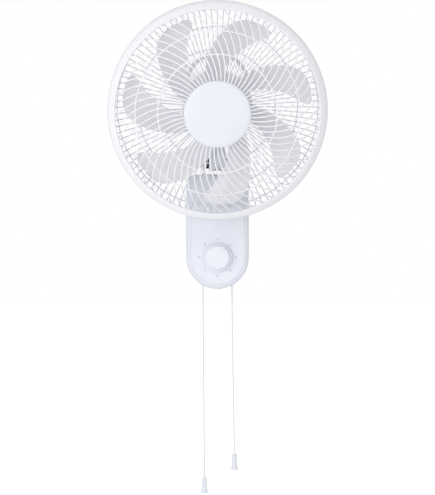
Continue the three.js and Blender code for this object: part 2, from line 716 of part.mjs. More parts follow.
// The cast bracket under the stator. It holds the swing pin and carries the swing motor.
function swivelBracket() {
  const half = SADDLE_HALF_WIDTH;
  const saddle = block(-half, half, MOTOR_SPLIT_Y + 3, REAR_SHIELD_Y - SEAT_GAP, SADDLE_BOTTOM_Z, -31);
  const stator = turned(rod(STATOR_RADIUS + SEAT_GAP, -60, 60), 32);
  const shieldBack = REAR_SHIELD_Y + 3 + SEAT_GAP;
  const under = block(-8, 8, 6, shieldBack + 4, SADDLE_BOTTOM_Z, -STATOR_RADIUS - 2.5);
  const post = block(-8, 8, shieldBack, shieldBack + 4, SADDLE_BOTTOM_Z, -15);
  const shelf = block(-8, 8, shieldBack, SWING_MOTOR_Y + 12, -19, -15);
  const boss = aboutZ(turned(
    rod(PIN_BOSS_RADIUS, COLLAR_TOP_Z + 0.5, SADDLE_BOTTOM_Z + 1), ROUND));
  const bore = aboutZ(turned(rod(PIN_RADIUS + RUNNING_GAP, -60, -39.2), ROUND));
  return cut(join(cut(saddle, stator), under, post, shelf, boss), bore);
}

// The steel swing pin, with the retaining disc at its foot.
function swingPin() {
  const disc = PIN_BOTTOM_Z + CLIP_HEIGHT;
  return aboutZ(turned([
    [0, PIN_BOTTOM_Z], [PIN_RADIUS, PIN_BOTTOM_Z], [PIN_RADIUS, disc - 4],
    [BUSH_WELL_RADIUS - 2, disc - 4], [BUSH_WELL_RADIUS - 2, disc], [PIN_RADIUS, disc],
    [PIN_RADIUS, -39.6], [0, -39.6],
  ], ROUND));
}

const CRANK_X = STUD_X + 1.5 - CRANK_THROW;
const CRANK_TOP_Z = -37.5;
const CRANK_BOTTOM_Z = -41.5;

// The slow synchronous motor that turns the crank, hung under the bracket's shelf.
function swingMotor() {
  const can = turned(rod(SWING_MOTOR_RADIUS, -34, -19.3), ROUND).translate(0, 0, 0);
  const nose = turned(rod(5, CRANK_TOP_Z + 0.5, -33), SMALL);
  return cut(
    join(aboutZ(can).translate(0, SWING_MOTOR_Y, 0), aboutZ(nose).translate(CRANK_X, CRANK_Y, 0)),
    aboutZ(turned(rod(2.2, -50, -28), ROUND)).translate(CRANK_X, CRANK_Y, 0));
}

// The crank disc: a stub up into the swing motor and the crank pin below.
function swingCrank() {
  const disc = turned(rod(CRANK_RADIUS, CRANK_BOTTOM_Z, CRANK_TOP_Z), ROUND);
  const stub = turned(rod(2.1, CRANK_TOP_Z - 1, -30), SMALL);
  const pin = turned(rod(CRANK_PIN_RADIUS, CRANK_BOTTOM_Z - 4.6, CRANK_BOTTOM_Z + 1), SMALL);
  return join(
    aboutZ(disc).translate(CRANK_X, CRANK_Y, 0),
    aboutZ(stub).translate(CRANK_X, CRANK_Y, 0),
    aboutZ(pin).translate(CRANK_X + CRANK_THROW, CRANK_Y, 0));
}

// The flat link from the crank pin to the neck's stud, with a long eye at the stud's end.
function swingLink() {
  const [crankX, studX] = [CRANK_X + CRANK_THROW, STUD_X + 0.8];
  const outline = new THREE.Shape();
  outline.absarc(crankX, CRANK_Y, 4.6, 0, Math.PI);
  outline.lineTo(studX - 3, 8);
  outline.absarc(studX, 0, STUD_RADIUS + STUD_PLAY + 1.6, rad(150), rad(390));
  outline.lineTo(studX + 3, 8);
  const crankEye = new THREE.Path();
  crankEye.absarc(crankX, CRANK_Y, CRANK_PIN_RADIUS + RUNNING_GAP, 0, 2 * Math.PI);
  const studEye = new THREE.Path();
  studEye.absarc(studX, 0, STUD_RADIUS + STUD_PLAY, 0, 2 * Math.PI);
  outline.holes.push(crankEye, studEye);
  return extrude(outline, 3, 10).translate(0, 0, CRANK_BOTTOM_Z - SEAT_GAP - 3);
}

// ---------------------------------------------------------------- handle

// The arched grip over the motor by which the head is aimed.
function aimHandle() {
  const [outer, inner] = [HANDLE_OUTER_RADIUS, HANDLE_OUTER_RADIUS - HANDLE_BAND];
  const arch = new THREE.Shape();
  arch.absarc(0, HANDLE_CENTRE_Z, outer, rad(-20), rad(200));
  arch.absarc(0, HANDLE_CENTRE_Z, inner, rad(200), rad(-20), true);
  const band = extrudeForward(arch, HANDLE_WIDTH, HANDLE_Y + HANDLE_WIDTH, 14);
  return cut(band, turned(rod(MOTOR_RADIUS + SEAT_GAP, -60, 80), FINE));
}

// ---------------------------------------------------------------- guards

// A grille of ribs and rings in one skin. Each station is a point {r, y} on the ribs' middle line,
// from the hub outwards, with the angle in degrees that the rib has turned through by then. A rib
// is a wedge: flat towards the viewer, with its edge behind. Where a station has a ring, given by
// its width, the ring is a wedge of the same depth, so ribs and rings share their corners.
function grille({ count, stations, width, depth, phase = 0 }) {
  const slots = stations.map((here, i) => {
    const before = stations[Math.max(i - 1, 0)];
    const after = stations[Math.min(i + 1, stations.length - 1)];
    const along = new THREE.Vector2(after.r - before.r, after.y - before.y);
    const turnPerMm = rad(after.turn - before.turn) / along.length();
    const half = (width / 2 / here.r) * Math.hypot(1, here.r * turnPerMm);
    return { ...here, along: along.normalize(), turnPerMm, half };
  });
  const positions = [];
  const corner = (r, angle, y) => {
    positions.push(r * Math.cos(angle), y, r * Math.sin(angle));
    return positions.length / 3 - 1;
  };
  // Each rib is a list of rows: the left and right front corners and the edge behind them.
  const ribs = Array.from({ length: count }, (_, k) => {
    const start = rad(phase) + (k * 2 * Math.PI) / count;
    return slots.flatMap((s) => {
      const lift = depth / 2;
      const angle = start + rad(s.turn);
      const edge = corner(s.r - s.along.y * lift, angle, s.y + s.along.x * lift);
      const front = (shift) => {
        const r = s.r + s.along.y * lift + s.along.x * shift;
        const y = s.y - s.along.x * lift + s.along.y * shift;
        const middle = angle + s.turnPerMm * shift;
        return { left: corner(r, middle + s.half, y), right: corner(r, middle - s.half, y), edge };
      };
      return s.ring ? [front(-s.ring / 2), front(s.ring / 2)] : [front(0)];
    });
  });
  const index = [];
  const quad = (a, b, c, d) => index.push(a, b, c, a, c, d);
  ribs.forEach((rib, k) => {
    const next = ribs[(k + 1) % count];
    rib.slice(1).forEach((out, i) => {
      const [here, there] = [rib[i], next[i]];
      quad(here.left, here.right, out.right, out.left);
      if (here.edge !== out.edge) {
        quad(here.right, here.edge, out.edge, out.right);
        quad(here.edge, here.left, out.left, out.edge);
      } else {
        const far = next[i + 1];
        quad(out.left, far.right, there.right, here.left);
        quad(here.left, there.right, there.edge, here.edge);
        quad(far.right, out.left, out.edge, far.edge);
      }
    });
    const last = rib[rib.length - 1];
    index.push(rib[0].right, rib[0].left, rib[0].edge, last.left, last.right, last.edge);
  });
  return outward(positions, index);
}

// How far the front guard has fallen back from its flat middle, at a radius.
function domeDrop(r) {
  const share = Math.max(0, (r - FRONT_DOME_START) / (RIM_INNER_RADIUS - FRONT_DOME_START));
  return FRONT_DOME_DEPTH * share ** 2.6;
}

function frontGuard() {
  const [from, to] = [CAP_RADIUS - HUB_RING_WIDTH / 2, RIM_INNER_RADIUS + 2.4];
  const ribY = CAP_FACE_Y + CAP_RIM + SEAT_GAP + FRONT_RIB_DEPTH / 2;
  const station = (r, ring = 0) => {
    const turn = FRONT_RIB_SWEEP * ((r - from) / (to - from)) ** 1.5;
    return { r, y: ribY + domeDrop(r), turn, ring };
  };
  const stations = [
    station(from, HUB_RING_WIDTH), station(INNER_RING_RADIUS, FRONT_RIB_WIDTH),
    station(OUTER_RING_RADIUS, FRONT_RIB_WIDTH), station(152), station(to),
  ];
  const ribs = grille({
    count: FRONT_RIB_COUNT, stations, width: FRONT_RIB_WIDTH, depth: FRONT_RIB_DEPTH,
  });
  const lip = RIM_INNER_RADIUS;
  const rim = turned([
    [lip, FRONT_RIM_Y + 2], [lip + 2.5, FRONT_RIM_Y], [lip + 6, FRONT_RIM_Y + 2.5],
    [lip + 6, FRONT_SKIRT_BACK_Y], [lip + 3.6, FRONT_SKIRT_BACK_Y], [lip, FRONT_RIM_Y + 9],
  ], FRONT_RIB_COUNT);
  return join(ribs, rim);
}

function rearGuard() {
  const [corner, wall] = [REAR_CORNER_RADIUS, GUARD_RADIUS - 2.7];
  const onCorner = (turn, ring = 0) => ({
    r: wall - 1 - corner + corner * Math.sin(rad(turn)),
    y: REAR_PAN_Y - corner + corner * Math.cos(rad(turn)),
    turn: 0,
    ring,
  });
  const flat = (r, ring = 0) => ({ r, y: REAR_PAN_Y, turn: 0, ring });
  const wire = REAR_RIB_WIDTH;
  const stations = [
    flat(MOTOR_RADIUS + 2), flat(INNER_RING_RADIUS, wire), flat(OUTER_RING_RADIUS, wire),
    onCorner(40, wire), { r: wall, y: REAR_RIM_BACK_Y - 2, turn: 0 },
  ];
  const ribs = grille({
    count: REAR_RIB_COUNT, stations, width: REAR_RIB_WIDTH, depth: REAR_RIB_DEPTH,
  });
  const plateBack = MOTOR_FRONT_Y - SEAT_GAP;
  const plate = turned([
    [NOSE_RADIUS + SEAT_GAP, plateBack - GUARD_PLATE],
    [MOTOR_RADIUS + 4, plateBack - GUARD_PLATE], [MOTOR_RADIUS + 4, plateBack + 1],
    [MOTOR_RADIUS + 0.5, plateBack + 1], [MOTOR_RADIUS + 0.5, plateBack],
    [NOSE_RADIUS + SEAT_GAP, plateBack],
  ], FINE);
  const [inner, outer] = [RIM_INNER_RADIUS + 6.6, GUARD_RADIUS];
  const rim = turned([
    [inner, REAR_RIM_FRONT_Y], [outer - 2, REAR_RIM_FRONT_Y - 1], [outer, REAR_RIM_FRONT_Y + 2],
    [outer, REAR_RIM_BACK_Y], [inner, REAR_RIM_BACK_Y],
  ], 50);
  return join(ribs, plate, rim);
}

// The big plastic nut that clamps the rear guard on the motor's nose.
function guardNut() {
  const back = MOTOR_FRONT_Y - GUARD_PLATE - 2 * SEAT_GAP;
  const ring = turned(tube(NOSE_RADIUS + SEAT_GAP, 27, back - 9, back), FINE);
  const grips = Array.from({ length: 6 }, (_, i) =>
    block(-2.5, 2.5, back - 9, back, 24, 31).rotateY((i * Math.PI) / 3));
  return join(ring, ...grips);
}

function hubCap() {
  const face = CAP_FACE_Y;
  return turned([
    [0, face], [CAP_RADIUS - 2, face], [CAP_RADIUS - 0.5, face + 0.8], [CAP_RADIUS, face + CAP_RIM],
    [43.5, face + CAP_RIM], [43.5, face + 8], [41, face + 8], [41, face + CAP_RIM],
    [0, face + CAP_RIM],
  ], FINE);
}

// ---------------------------------------------------------------- propeller

// One blade: sections round the axis, swept back towards the tip. The leading edge, on the
// clockwise side, lies furthest back, and the trailing edge nearest the viewer.
function blade(turn) {
  const middleY = (BLADE_HUB_FRONT_Y + BLADE_HUB_BACK_Y) / 2;
  const radii = [BLADE_HUB_RADIUS - 3, 62, 90, 118, 141, BLADE_TIP_RADIUS];
  const rows = radii.map((r, i) => {
    const trim = i === radii.length - 1 ? 0.72 : i === radii.length - 2 ? 0.95 : 1;
    const centre = BLADE_ROOT_ANGLE - BLADE_SWEEP_PER_MM * (r - 40);
    const point = (share, side) => {
      const camber = 5 * (1 - (2 * share - 1) ** 2);
      const thickness = BLADE_THICKNESS * (share === 0 || share === 1 ? 0.35 : 1);
      const angle = rad(turn + centre + (share - 0.5) * BLADE_ANGLE_WIDTH * trim);
      const y = middleY - (share - 0.5) * BLADE_PITCH_RISE * trim + camber + (side * thickness) / 2;
      return new THREE.Vector3(r * Math.cos(angle), y, r * Math.sin(angle));
    };
    const shares = [0, 0.3, 0.7, 1];
    return [...shares.map((s) => point(s, 1)), ...shares.toReversed().map((s) => point(s, -1))];
  });
  return loft(rows);
}

function fanBlade() {
  const [front, back] = [BLADE_HUB_FRONT_Y, BLADE_HUB_BACK_Y];
  const r = BLADE_HUB_RADIUS;
  const hub = turned([
    [SHAFT_RADIUS + SEAT_GAP, front + 1], [r - 8, front + 1], [r - 3, front + 2.5], [r, front + 7],
    [r, back], [r - 2.2, back], [r - 2.2, front + 9], [10, front + 5], [10, back + 6],
    [SHAFT_RADIUS + SEAT_GAP, back + 6],
  ], FINE);
  const blades = Array.from({ length: BLADE_COUNT }, (_, i) => blade((i * 360) / BLADE_COUNT));
  const inside = turned(rod(r - 1.5, front, back + 9), FINE);
  return join(hub, cut(join(...blades), inside));
}

// The left-hand nut and nose in one, which holds the propeller on the shaft.
function bladeSpinner() {
  const back = BLADE_HUB_FRONT_Y + 1 - SEAT_GAP;
  const bore = SHAFT_RADIUS + SEAT_GAP;
  return turned([
    [bore, back], [SPINNER_RADIUS, back], [SPINNER_RADIUS - 0.5, back - 6],
    [SPINNER_RADIUS - 4, back - 12], [SPINNER_RADIUS - 10, back - 15], [0, back - 16],
    [0, back - 12.5], [bore, back - 12.5],
  ], ROUND);
}

// ---------------------------------------------------------------- assembly

const fan = new THREE.Group();

add(fan, 'wall_bracket', wallBracket(), zincSteel);
add(fan, 'body_back_shell', bodyBackShell(), whitePlastic);
add(fan, 'body_front_shell', bodyFrontShell(), whitePlastic);
screwPosts.forEach(([x, z], i) =>
  add(fan, `shell_screw_${i + 1}`, shellScrew(x, z), zincSteel));
add(fan, 'timer_unit', timerUnit(), greyPlastic);
add(fan, 'timer_spindle', timerSpindle(), plainSteel);
add(fan, 'timer_dial', timerDial(), dialPlastic);
add(fan, 'capacitor', capacitor(), blackPlastic);
add(fan, 'terminal_block', terminalBlock(), greyPlastic);
add(fan, 'mains_cord_gland', mainsCordGland(), blackPlastic);
for (const [name, side, end] of [['speed', -1, SPEED_CORD_END], ['swing', 1, SWING_CORD_END]]) {
  add(fan, `${name}_switch_case`, switchCase(side), blackPlastic);
  add(fan, `${name}_switch_drum`, switchDrum(side), greyPlastic);
  add(fan, `${name}_cord_eyelet`, cordEyelet(side), whitePlastic);
  add(fan, `${name}_pull_cord`, pullCord(side, end), cordFibre);
  add(fan, `${name}_cord_bell`, cordBell(end), whitePlastic);
}
add(fan, 'tilt_fork', tiltFork(), whitePlastic);
add(fan, 'tilt_bolt', tiltBolt(), zincSteel);
add(fan, 'tilt_nut', tiltNut(), zincSteel);
add(fan, 'tilt_washer_left', tiltWasher(-1), blackPlastic);
add(fan, 'tilt_washer_right', tiltWasher(1), blackPlastic);

// Everything that tilts turns about the tilt bolt. The photograph's pose looks a little down.
const tilting = new THREE.Group();
tilting.position.set(0, TILT_Y, TILT_Z);
tilting.rotation.x = rad(TILT_AT_REST);
fan.add(tilting);
add(tilting, 'neck', neck(), whitePlastic);

// Everything that swings turns about the pin in the neck's boss.
const head = new THREE.Group();
head.position.set(0, -HEAD_REACH, HEAD_RISE);
tilting.add(head);
add(head, 'swing_bush', swingBush(), bronze);
add(head, 'swing_pin', swingPin(), plainSteel);
add(head, 'swivel_bracket', swivelBracket(), castAluminium);
add(head, 'swing_motor', swingMotor(), plainSteel);
add(head, 'swing_crank', swingCrank(), greyPlastic);
add(head, 'swing_link', swingLink(), zincSteel);
add(head, 'motor_front_shield', motorFrontShield(), castAluminium);
add(head, 'motor_rear_shield', motorRearShield(), zincSteel);
add(head, 'motor_rear_cover', motorRearCover(), whitePlastic);
add(head, 'aim_handle', aimHandle(), whitePlastic);
add(head, 'stator_core', statorCore(), plainSteel);
add(head, 'winding_front',
  windingEnd(STATOR_FRONT_Y - SEAT_GAP, STATOR_FRONT_Y - WINDING_LENGTH), copperWire);
add(head, 'winding_rear',
  windingEnd(STATOR_FRONT_Y + STATOR_LENGTH + SEAT_GAP,
    STATOR_FRONT_Y + STATOR_LENGTH + WINDING_LENGTH), copperWire);
add(head, 'front_bearing', bearing(MOTOR_FRONT_Y - NOSE_LENGTH + 2), bronze);
add(head, 'rear_bearing', bearing(REAR_SHIELD_Y + 0.5), bronze);
add(head, 'rotor_core', rotorCore(), plainSteel);
add(head, 'motor_shaft', motorShaft(), plainSteel);
add(head, 'rear_guard', rearGuard(), guardPlastic);
add(head, 'guard_nut', guardNut(), guardPlastic);
add(head, 'fan_blade', fanBlade(), bladePlastic);
add(head, 'blade_spinner', bladeSpinner(), bladePlastic);
add(head, 'front_guard', frontGuard(), guardPlastic);
add(head, 'hub_cap', hubCap(), whitePlastic);

export default fan;
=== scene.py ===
# The looks of a white wall mounted fan: moulded plastic box with a timer dial, two pull
# cords, a tilting neck, and a motor head with a seven-blade propeller inside its guards.
#
# Lengths in this file are millimetres unless a name says otherwise. Meshes are made in
# metres, in the same frame as the solids: +X right, +Z up, the wall is y = 0.

import json
import math

import bmesh
import bpy
from mathutils import Matrix, Vector


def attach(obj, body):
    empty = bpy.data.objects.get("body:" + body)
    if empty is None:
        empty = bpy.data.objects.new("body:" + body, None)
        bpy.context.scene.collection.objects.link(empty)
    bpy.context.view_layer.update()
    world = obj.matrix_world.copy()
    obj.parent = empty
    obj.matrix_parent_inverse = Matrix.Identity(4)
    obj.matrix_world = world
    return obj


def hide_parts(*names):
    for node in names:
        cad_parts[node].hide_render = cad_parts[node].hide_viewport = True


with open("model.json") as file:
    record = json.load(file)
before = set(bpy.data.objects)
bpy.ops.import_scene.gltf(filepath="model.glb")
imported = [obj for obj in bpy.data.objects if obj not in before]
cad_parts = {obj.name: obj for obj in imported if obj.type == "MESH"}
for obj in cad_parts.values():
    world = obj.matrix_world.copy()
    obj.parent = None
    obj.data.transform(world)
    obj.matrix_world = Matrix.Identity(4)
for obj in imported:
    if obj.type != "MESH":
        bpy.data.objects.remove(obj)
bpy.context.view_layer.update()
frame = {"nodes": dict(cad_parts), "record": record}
NODES = frame["nodes"]
MM = 0.001

# ---------------------------------------------------------------- camera

FRAME_HEIGHT_PIXELS = 495
FOCAL_PIXELS = 1817.6
CAMERA_DISTANCE = 3200
CAMERA_HEIGHT = -27.7


def make_camera():
    data = bpy.data.cameras.new("camera")
    data.sensor_width = 36
    data.lens = FOCAL_PIXELS * data.sensor_width / FRAME_HEIGHT_PIXELS
    data.clip_start = 0.05
    data.clip_end = 60
    camera = bpy.data.objects.new("camera", data)
    camera.location = (0, -CAMERA_DISTANCE * MM, CAMERA_HEIGHT * MM)
    camera.rotation_euler = (math.radians(90), 0, 0)
    bpy.context.collection.objects.link(camera)
    bpy.context.scene.camera = camera


make_camera()

# ---------------------------------------------------------------- sizes of the fan

# Where the tilt bolt and the motor's axis lie at rest.
TILT_ANGLE = math.radians(11)
BOLT_Y = -50
BOLT_Z = 118
HEAD_REACH = 68
HEAD_RISE = 111
TILT = Matrix.Translation((0, BOLT_Y, BOLT_Z)) @ Matrix.Rotation(TILT_ANGLE, 4, "X")
HEAD = TILT @ Matrix.Translation((0, -HEAD_REACH, HEAD_RISE))

# Control box.
BOX_HALF_WIDTH = 55
BOX_TOP = 100
BOX_TOP_CORNER = 16
BOX_BACK = -1
BOX_SPLIT = -24
BOX_FRONT = -70
BOX_EDGE = 8.6
BOX_DRAFT = 1.4
BOX_WALL = 2.5
DIAL_Z = -45
DIAL_RADIUS = 25
GLAND_Y = -14
POSTS = ((-38, 76), (38, 76), (-40, -58), (40, -58))
POCKET_HALF_WIDTH = 45
POCKET_HALF_HEIGHT = 68
POCKET_FLOOR = -8.5
POCKET_LIP = 2.5

# Plain minute numbers round the dial.
MINUTES = (0, 15, 30, 45, 60, 75, 90, 105)
NUMBER_RADIUS = 31.3
NUMBER_SIZE = 6
NUMBER_NARROWING = 0.64

# Cords.
CORD_X = 25.2
CORD_Y = -34
CORD_RADIUS = 1
SWITCH_Z = -48
SPEED_CORD_END = (-22.8, CORD_Y, -427.5)
SWING_CORD_END = (29.6, CORD_Y, -386.7)
SPEED_CORD_LENGTH = 380
SWING_CORD_LENGTH = 339

# Head, about the motor's axis.
MOTOR_RADIUS = 55
CAP_FACE = -150
CAP_RADIUS = 54.3
GUARD_RADIUS = 179.6
RIM_INNER_RADIUS = 168
FRONT_RIB_COUNT = 60
FRONT_RING_RADII = (96, 133)
SPIRAL_TURN = 28
DOME_FROM_RADIUS = 80
DOME_DEPTH = 34
REAR_RIB_COUNT = 100

# Propeller. Turns are in degrees, and the sweep is degrees for each millimetre outwards.
BLADE_COUNT = 7
BLADE_Y = -93
BLADE_ROOT_RADIUS = 35
BLADE_ROUND_FROM = 128
BLADE_TIP_RADIUS = 156
BLADE_THICKNESS = 2.4
BLADE_CAMBER = 5
BLADE_DEPTH = 31
BLADE_WIDTH_TURN = 27.5
BLADE_START_TURN = 52
BLADE_SWEEP = 0.338

# ---------------------------------------------------------------- mesh helpers


def softened(profile, radius, steps=5):
    """An open run of 2-D points with its inner corners rounded."""
    points = [Vector(p) for p in profile]
    result = [tuple(points[0])]
    for before, here, after in zip(points, points[1:], points[2:]):
        into, out = here - before, after - here
        reach = min(radius, 0.45 * into.length, 0.45 * out.length)
        first = here - into.normalized() * reach
        last = here + out.normalized() * reach
        for i in range(steps + 1):
            t = i / steps
            point = first * (1 - t) ** 2 + here * 2 * t * (1 - t) + last * t * t
            result.append(tuple(point))
    return result + [tuple(points[-1])]


def softened_loop(profile, radius, steps=5):
    """A closed run of 2-D points with every corner rounded."""
    wrapped = [profile[-1], *profile, profile[0]]
    return softened(wrapped, radius, steps)[1:-1]


def turned(profile, segments=96):
    """A profile of (radius, y) points turned about the Y axis. It is closed by its poles, or
    joined end to end where it has none."""
    vertices, rows, faces = [], [], []
    for radius, y in profile:
        start = len(vertices)
        if radius < 1e-6:
            vertices.append((0, y, 0))
        else:
            for i in range(segments):
                turn = 2 * math.pi * i / segments
                vertices.append((radius * math.cos(turn), y, radius * math.sin(turn)))
        rows.append(range(start, len(vertices)))
    has_pole = len(rows[0]) == 1 or len(rows[-1]) == 1
    pairs = list(zip(rows, rows[1:])) + ([] if has_pole else [(rows[-1], rows[0])])
    for near, far in pairs:
        for i in range(segments):
            j = (i + 1) % segments
            quad = (near[i % len(near)], near[j % len(near)],
                    far[j % len(far)], far[i % len(far)])
            faces.append(tuple(dict.fromkeys(quad)))
    return vertices, [f for f in faces if len(f) > 2]


def lofted(loops, wrap=False):
    """Skin over loops of as many points each; its ends are flat, or it wraps to the first."""
    count = len(loops[0])
    vertices = [tuple(p) for loop in loops for p in loop]
    faces = []
    for row in range(len(loops) - (0 if wrap else 1)):
        near, far = row * count, ((row + 1) % len(loops)) * count
        for i in range(count):
            j = (i + 1) % count
            faces.append((near + i, near + j, far + j, far + i))
    if not wrap:
        faces.append(tuple(range(count - 1, -1, -1)))
        faces.append(tuple(range((len(loops) - 1) * count, len(loops) * count)))
    return vertices, faces


def swept(path, up, section, closed=False):
    """A section of (sideways, upwards) points carried along a path of points."""
    points = [Vector(p) for p in path]
    loops = []
    for i, here in enumerate(points):
        before = points[i - 1] if i or closed else here
        after = points[(i + 1) % len(points)] if i + 1 < len(points) or closed else here
        along = (after - before).normalized()
        raised = Vector(up(i) if callable(up) else up)
        raised = (raised - along * raised.dot(along)).normalized()
        side = along.cross(raised)
        loops.append([here + side * a + raised * b for a, b in section])
    return lofted(loops, wrap=closed)


def oval(width, depth, points=8):
    """A rounded section, fuller than an ellipse."""
    result = []
    for i in range(points):
        turn = 2 * math.pi * (i + 0.5) / points
        c, s = math.cos(turn), math.sin(turn)
        result.append((width / 2 * math.copysign(abs(c) ** 0.75, c),
                       depth / 2 * math.copysign(abs(s) ** 0.75, s)))
    return result


def block(low, high):
    (x0, y0, z0), (x1, y1, z1) = low, high
    near = [(x0, y0, z0), (x1, y0, z0), (x1, y0, z1), (x0, y0, z1)]
    return lofted([near, [(x, y1, z) for x, _, z in near]])


def about_z(part):
    return [(x, -z, y) for x, y, z in part[0]], part[1]


def about_x(part):
    return [(y, -x, z) for x, y, z in part[0]], part[1]


def moved(part, x=0, y=0, z=0):
    return [(a + x, b + y, c + z) for a, b, c in part[0]], part[1]


def joined(*parts):
    vertices, faces = [], []
    for points, polygons in parts:
        shift = len(vertices)
        vertices += points
        faces += [tuple(i + shift for i in f) for f in polygons]
    return vertices, faces


def mesh_object(name, part, place=None, sharp_angle=38):
    """A smooth-shaded mesh object, in metres, from a part in millimetres."""
    mesh = bpy.data.meshes.new(name)
    mesh.from_pydata([tuple(v) for v in part[0]], [], part[1])
    mesh.transform(Matrix.Scale(MM, 4) @ (place or Matrix()))
    edit = bmesh.new()
    edit.from_mesh(mesh)
    bmesh.ops.recalc_face_normals(edit, faces=edit.faces)
    edit.to_mesh(mesh)
    edit.free()
    mesh.shade_smooth()
    mesh.set_sharp_from_angle(angle=math.radians(sharp_angle))
    made = bpy.data.objects.new(name, mesh)
    bpy.context.collection.objects.link(made)
    return made


def apply_modifiers(target, sharp_angle=38):
    evaluated = target.evaluated_get(bpy.context.evaluated_depsgraph_get())
    mesh = bpy.data.meshes.new_from_object(evaluated)
    target.modifiers.clear()
    target.data = mesh
    mesh.shade_smooth()
    mesh.set_sharp_from_angle(angle=math.radians(sharp_angle))


def carve(target, part, place=None):
    """Cuts a part away from an object."""
    cutter = mesh_object("cutter", part, place)
    cut = target.modifiers.new("carve", "BOOLEAN")
    cut.operation = "DIFFERENCE"
    cut.solver = "EXACT"
    cut.object = cutter
    apply_modifiers(target)
    bpy.data.objects.remove(cutter)


def bevel(target, width, segments=4, angle=35):
    """Rounds the edges of an object that are sharper than an angle."""
    edge = target.modifiers.new("bevel", "BEVEL")
    edge.width = width * MM
    edge.segments = segments
    edge.limit_method = "ANGLE"
    edge.angle_limit = math.radians(angle)
    edge.harden_normals = False
    apply_modifiers(target)


def fit(made, finish, body, slot, *nodes):
    """Gives a piece its material and its body, and lets it stand for solids."""
    made.data.materials.clear()
    made.data.materials.append(finish)
    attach(made, body)
    if nodes:
        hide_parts(*nodes)
    return made


# ---------------------------------------------------------------- shader helpers


def colour(red, green, blue):
    """A colour that is written as it shows, 0 to 255, as Blender's linear colour."""
    def linear(value):
        c = value / 255
        return c / 12.92 if c <= 0.04045 else ((c + 0.055) / 1.055) ** 2.4
    return linear(red), linear(green), linear(blue), 1


def node(tree, kind, **inputs):
    """A shader node with values or links for its named inputs."""
    made = tree.nodes.new(kind)
    for name, value in inputs.items():
        join(tree, value, made.inputs[name.replace("_", " ")])
    return made


def join(tree, value, socket):
    if isinstance(value, bpy.types.NodeSocket):
        tree.links.new(value, socket)
    else:
        socket.default_value = value


def maths(tree, operation, *values):
    made = tree.nodes.new("ShaderNodeMath")
    made.operation = operation
    for value, socket in zip(values, made.inputs):
        join(tree, value, socket)
    return made.outputs[0]


def mixed(tree, share, first, second):
    """One colour fading into another."""
    made = tree.nodes.new("ShaderNodeMix")
    made.data_type = "RGBA"
    join(tree, share, made.inputs[0])
    join(tree, first, made.inputs[6])
    join(tree, second, made.inputs[7])
    return made.outputs[2]


def ranged(tree, value, low, high, to_low, to_high):
    made = tree.nodes.new("ShaderNodeMapRange")
    for item, socket in zip((value, low, high, to_low, to_high), made.inputs):
        join(tree, item, socket)
    return made.outputs[0]


def new_group(name, inputs, outputs):
    """An empty node group with named inputs and outputs."""
    group = bpy.data.node_groups.new(name, "ShaderNodeTree")
    for label, kind, value in inputs:
        socket = group.interface.new_socket(label, in_out="INPUT", socket_type=kind)
        socket.default_value = value
    for label, kind in outputs:
        group.interface.new_socket(label, in_out="OUTPUT", socket_type=kind)
    return group, group.nodes.new("NodeGroupInput"), group.nodes.new("NodeGroupOutput")


FLOAT = "NodeSocketFloat"
VECTOR = "NodeSocketVector"


def make_moulded_grain():
    """The fine grain that a spark-eroded mould leaves, and a slow drift in tone."""
    group, given, result = new_group(
        "moulded_grain",
        [("Grain Scale", FLOAT, 900), ("Drift Scale", FLOAT, 9)],
        [("Height", FLOAT), ("Drift", FLOAT)])
    place = node(group, "ShaderNodeTexCoord").outputs["Object"]
    grain = node(group, "ShaderNodeTexNoise", Vector=place,
                 Scale=given.outputs["Grain Scale"], Detail=2.0, Roughness=0.55)
    drift = node(group, "ShaderNodeTexNoise", Vector=place,
                 Scale=given.outputs["Drift Scale"], Detail=1.0)
    join(group, grain.outputs["Fac"], result.inputs["Height"])
    join(group, ranged(group, drift.outputs["Fac"], 0.3, 0.7, 0.0, 1.0), result.inputs["Drift"])
    return group


def make_handling_marks():
    """Long faint rub marks that change the gloss."""
    group, given, result = new_group(
        "handling_marks",
        [("Scale", FLOAT, 40), ("Stretch", VECTOR, (1, 1, 6))],
        [("Mask", FLOAT)])
    place = node(group, "ShaderNodeTexCoord").outputs["Object"]
    stretched = group.nodes.new("ShaderNodeVectorMath")
    stretched.operation = "DIVIDE"
    join(group, place, stretched.inputs[0])
    join(group, given.outputs["Stretch"], stretched.inputs[1])
    marks = node(group, "ShaderNodeTexNoise", Vector=stretched.outputs[0],
                 Scale=given.outputs["Scale"], Detail=5.0, Roughness=0.7)
    join(group, ranged(group, marks.outputs["Fac"], 0.35, 0.75, 0.0, 1.0), result.inputs["Mask"])
    return group


def make_settled_dust():
    """A mask of the thin dust that lies on what faces up."""
    group, given, result = new_group(
        "settled_dust", [("Amount", FLOAT, 0.2)], [("Mask", FLOAT)])
    normal = node(group, "ShaderNodeNewGeometry").outputs["Normal"]
    split = node(group, "ShaderNodeSeparateXYZ", Vector=normal)
    facing = ranged(group, split.outputs["Z"], 0.5, 1.0, 0.0, 1.0)
    place = node(group, "ShaderNodeTexCoord").outputs["Object"]
    specks = node(group, "ShaderNodeTexNoise", Vector=place, Scale=260.0, Detail=4.0)
    broken = ranged(group, specks.outputs["Fac"], 0.42, 0.62, 0.25, 1.0)
    mask = maths(group, "MULTIPLY", maths(group, "MULTIPLY", facing, broken),
                 given.outputs["Amount"])
    join(group, mask, result.inputs["Mask"])
    return group


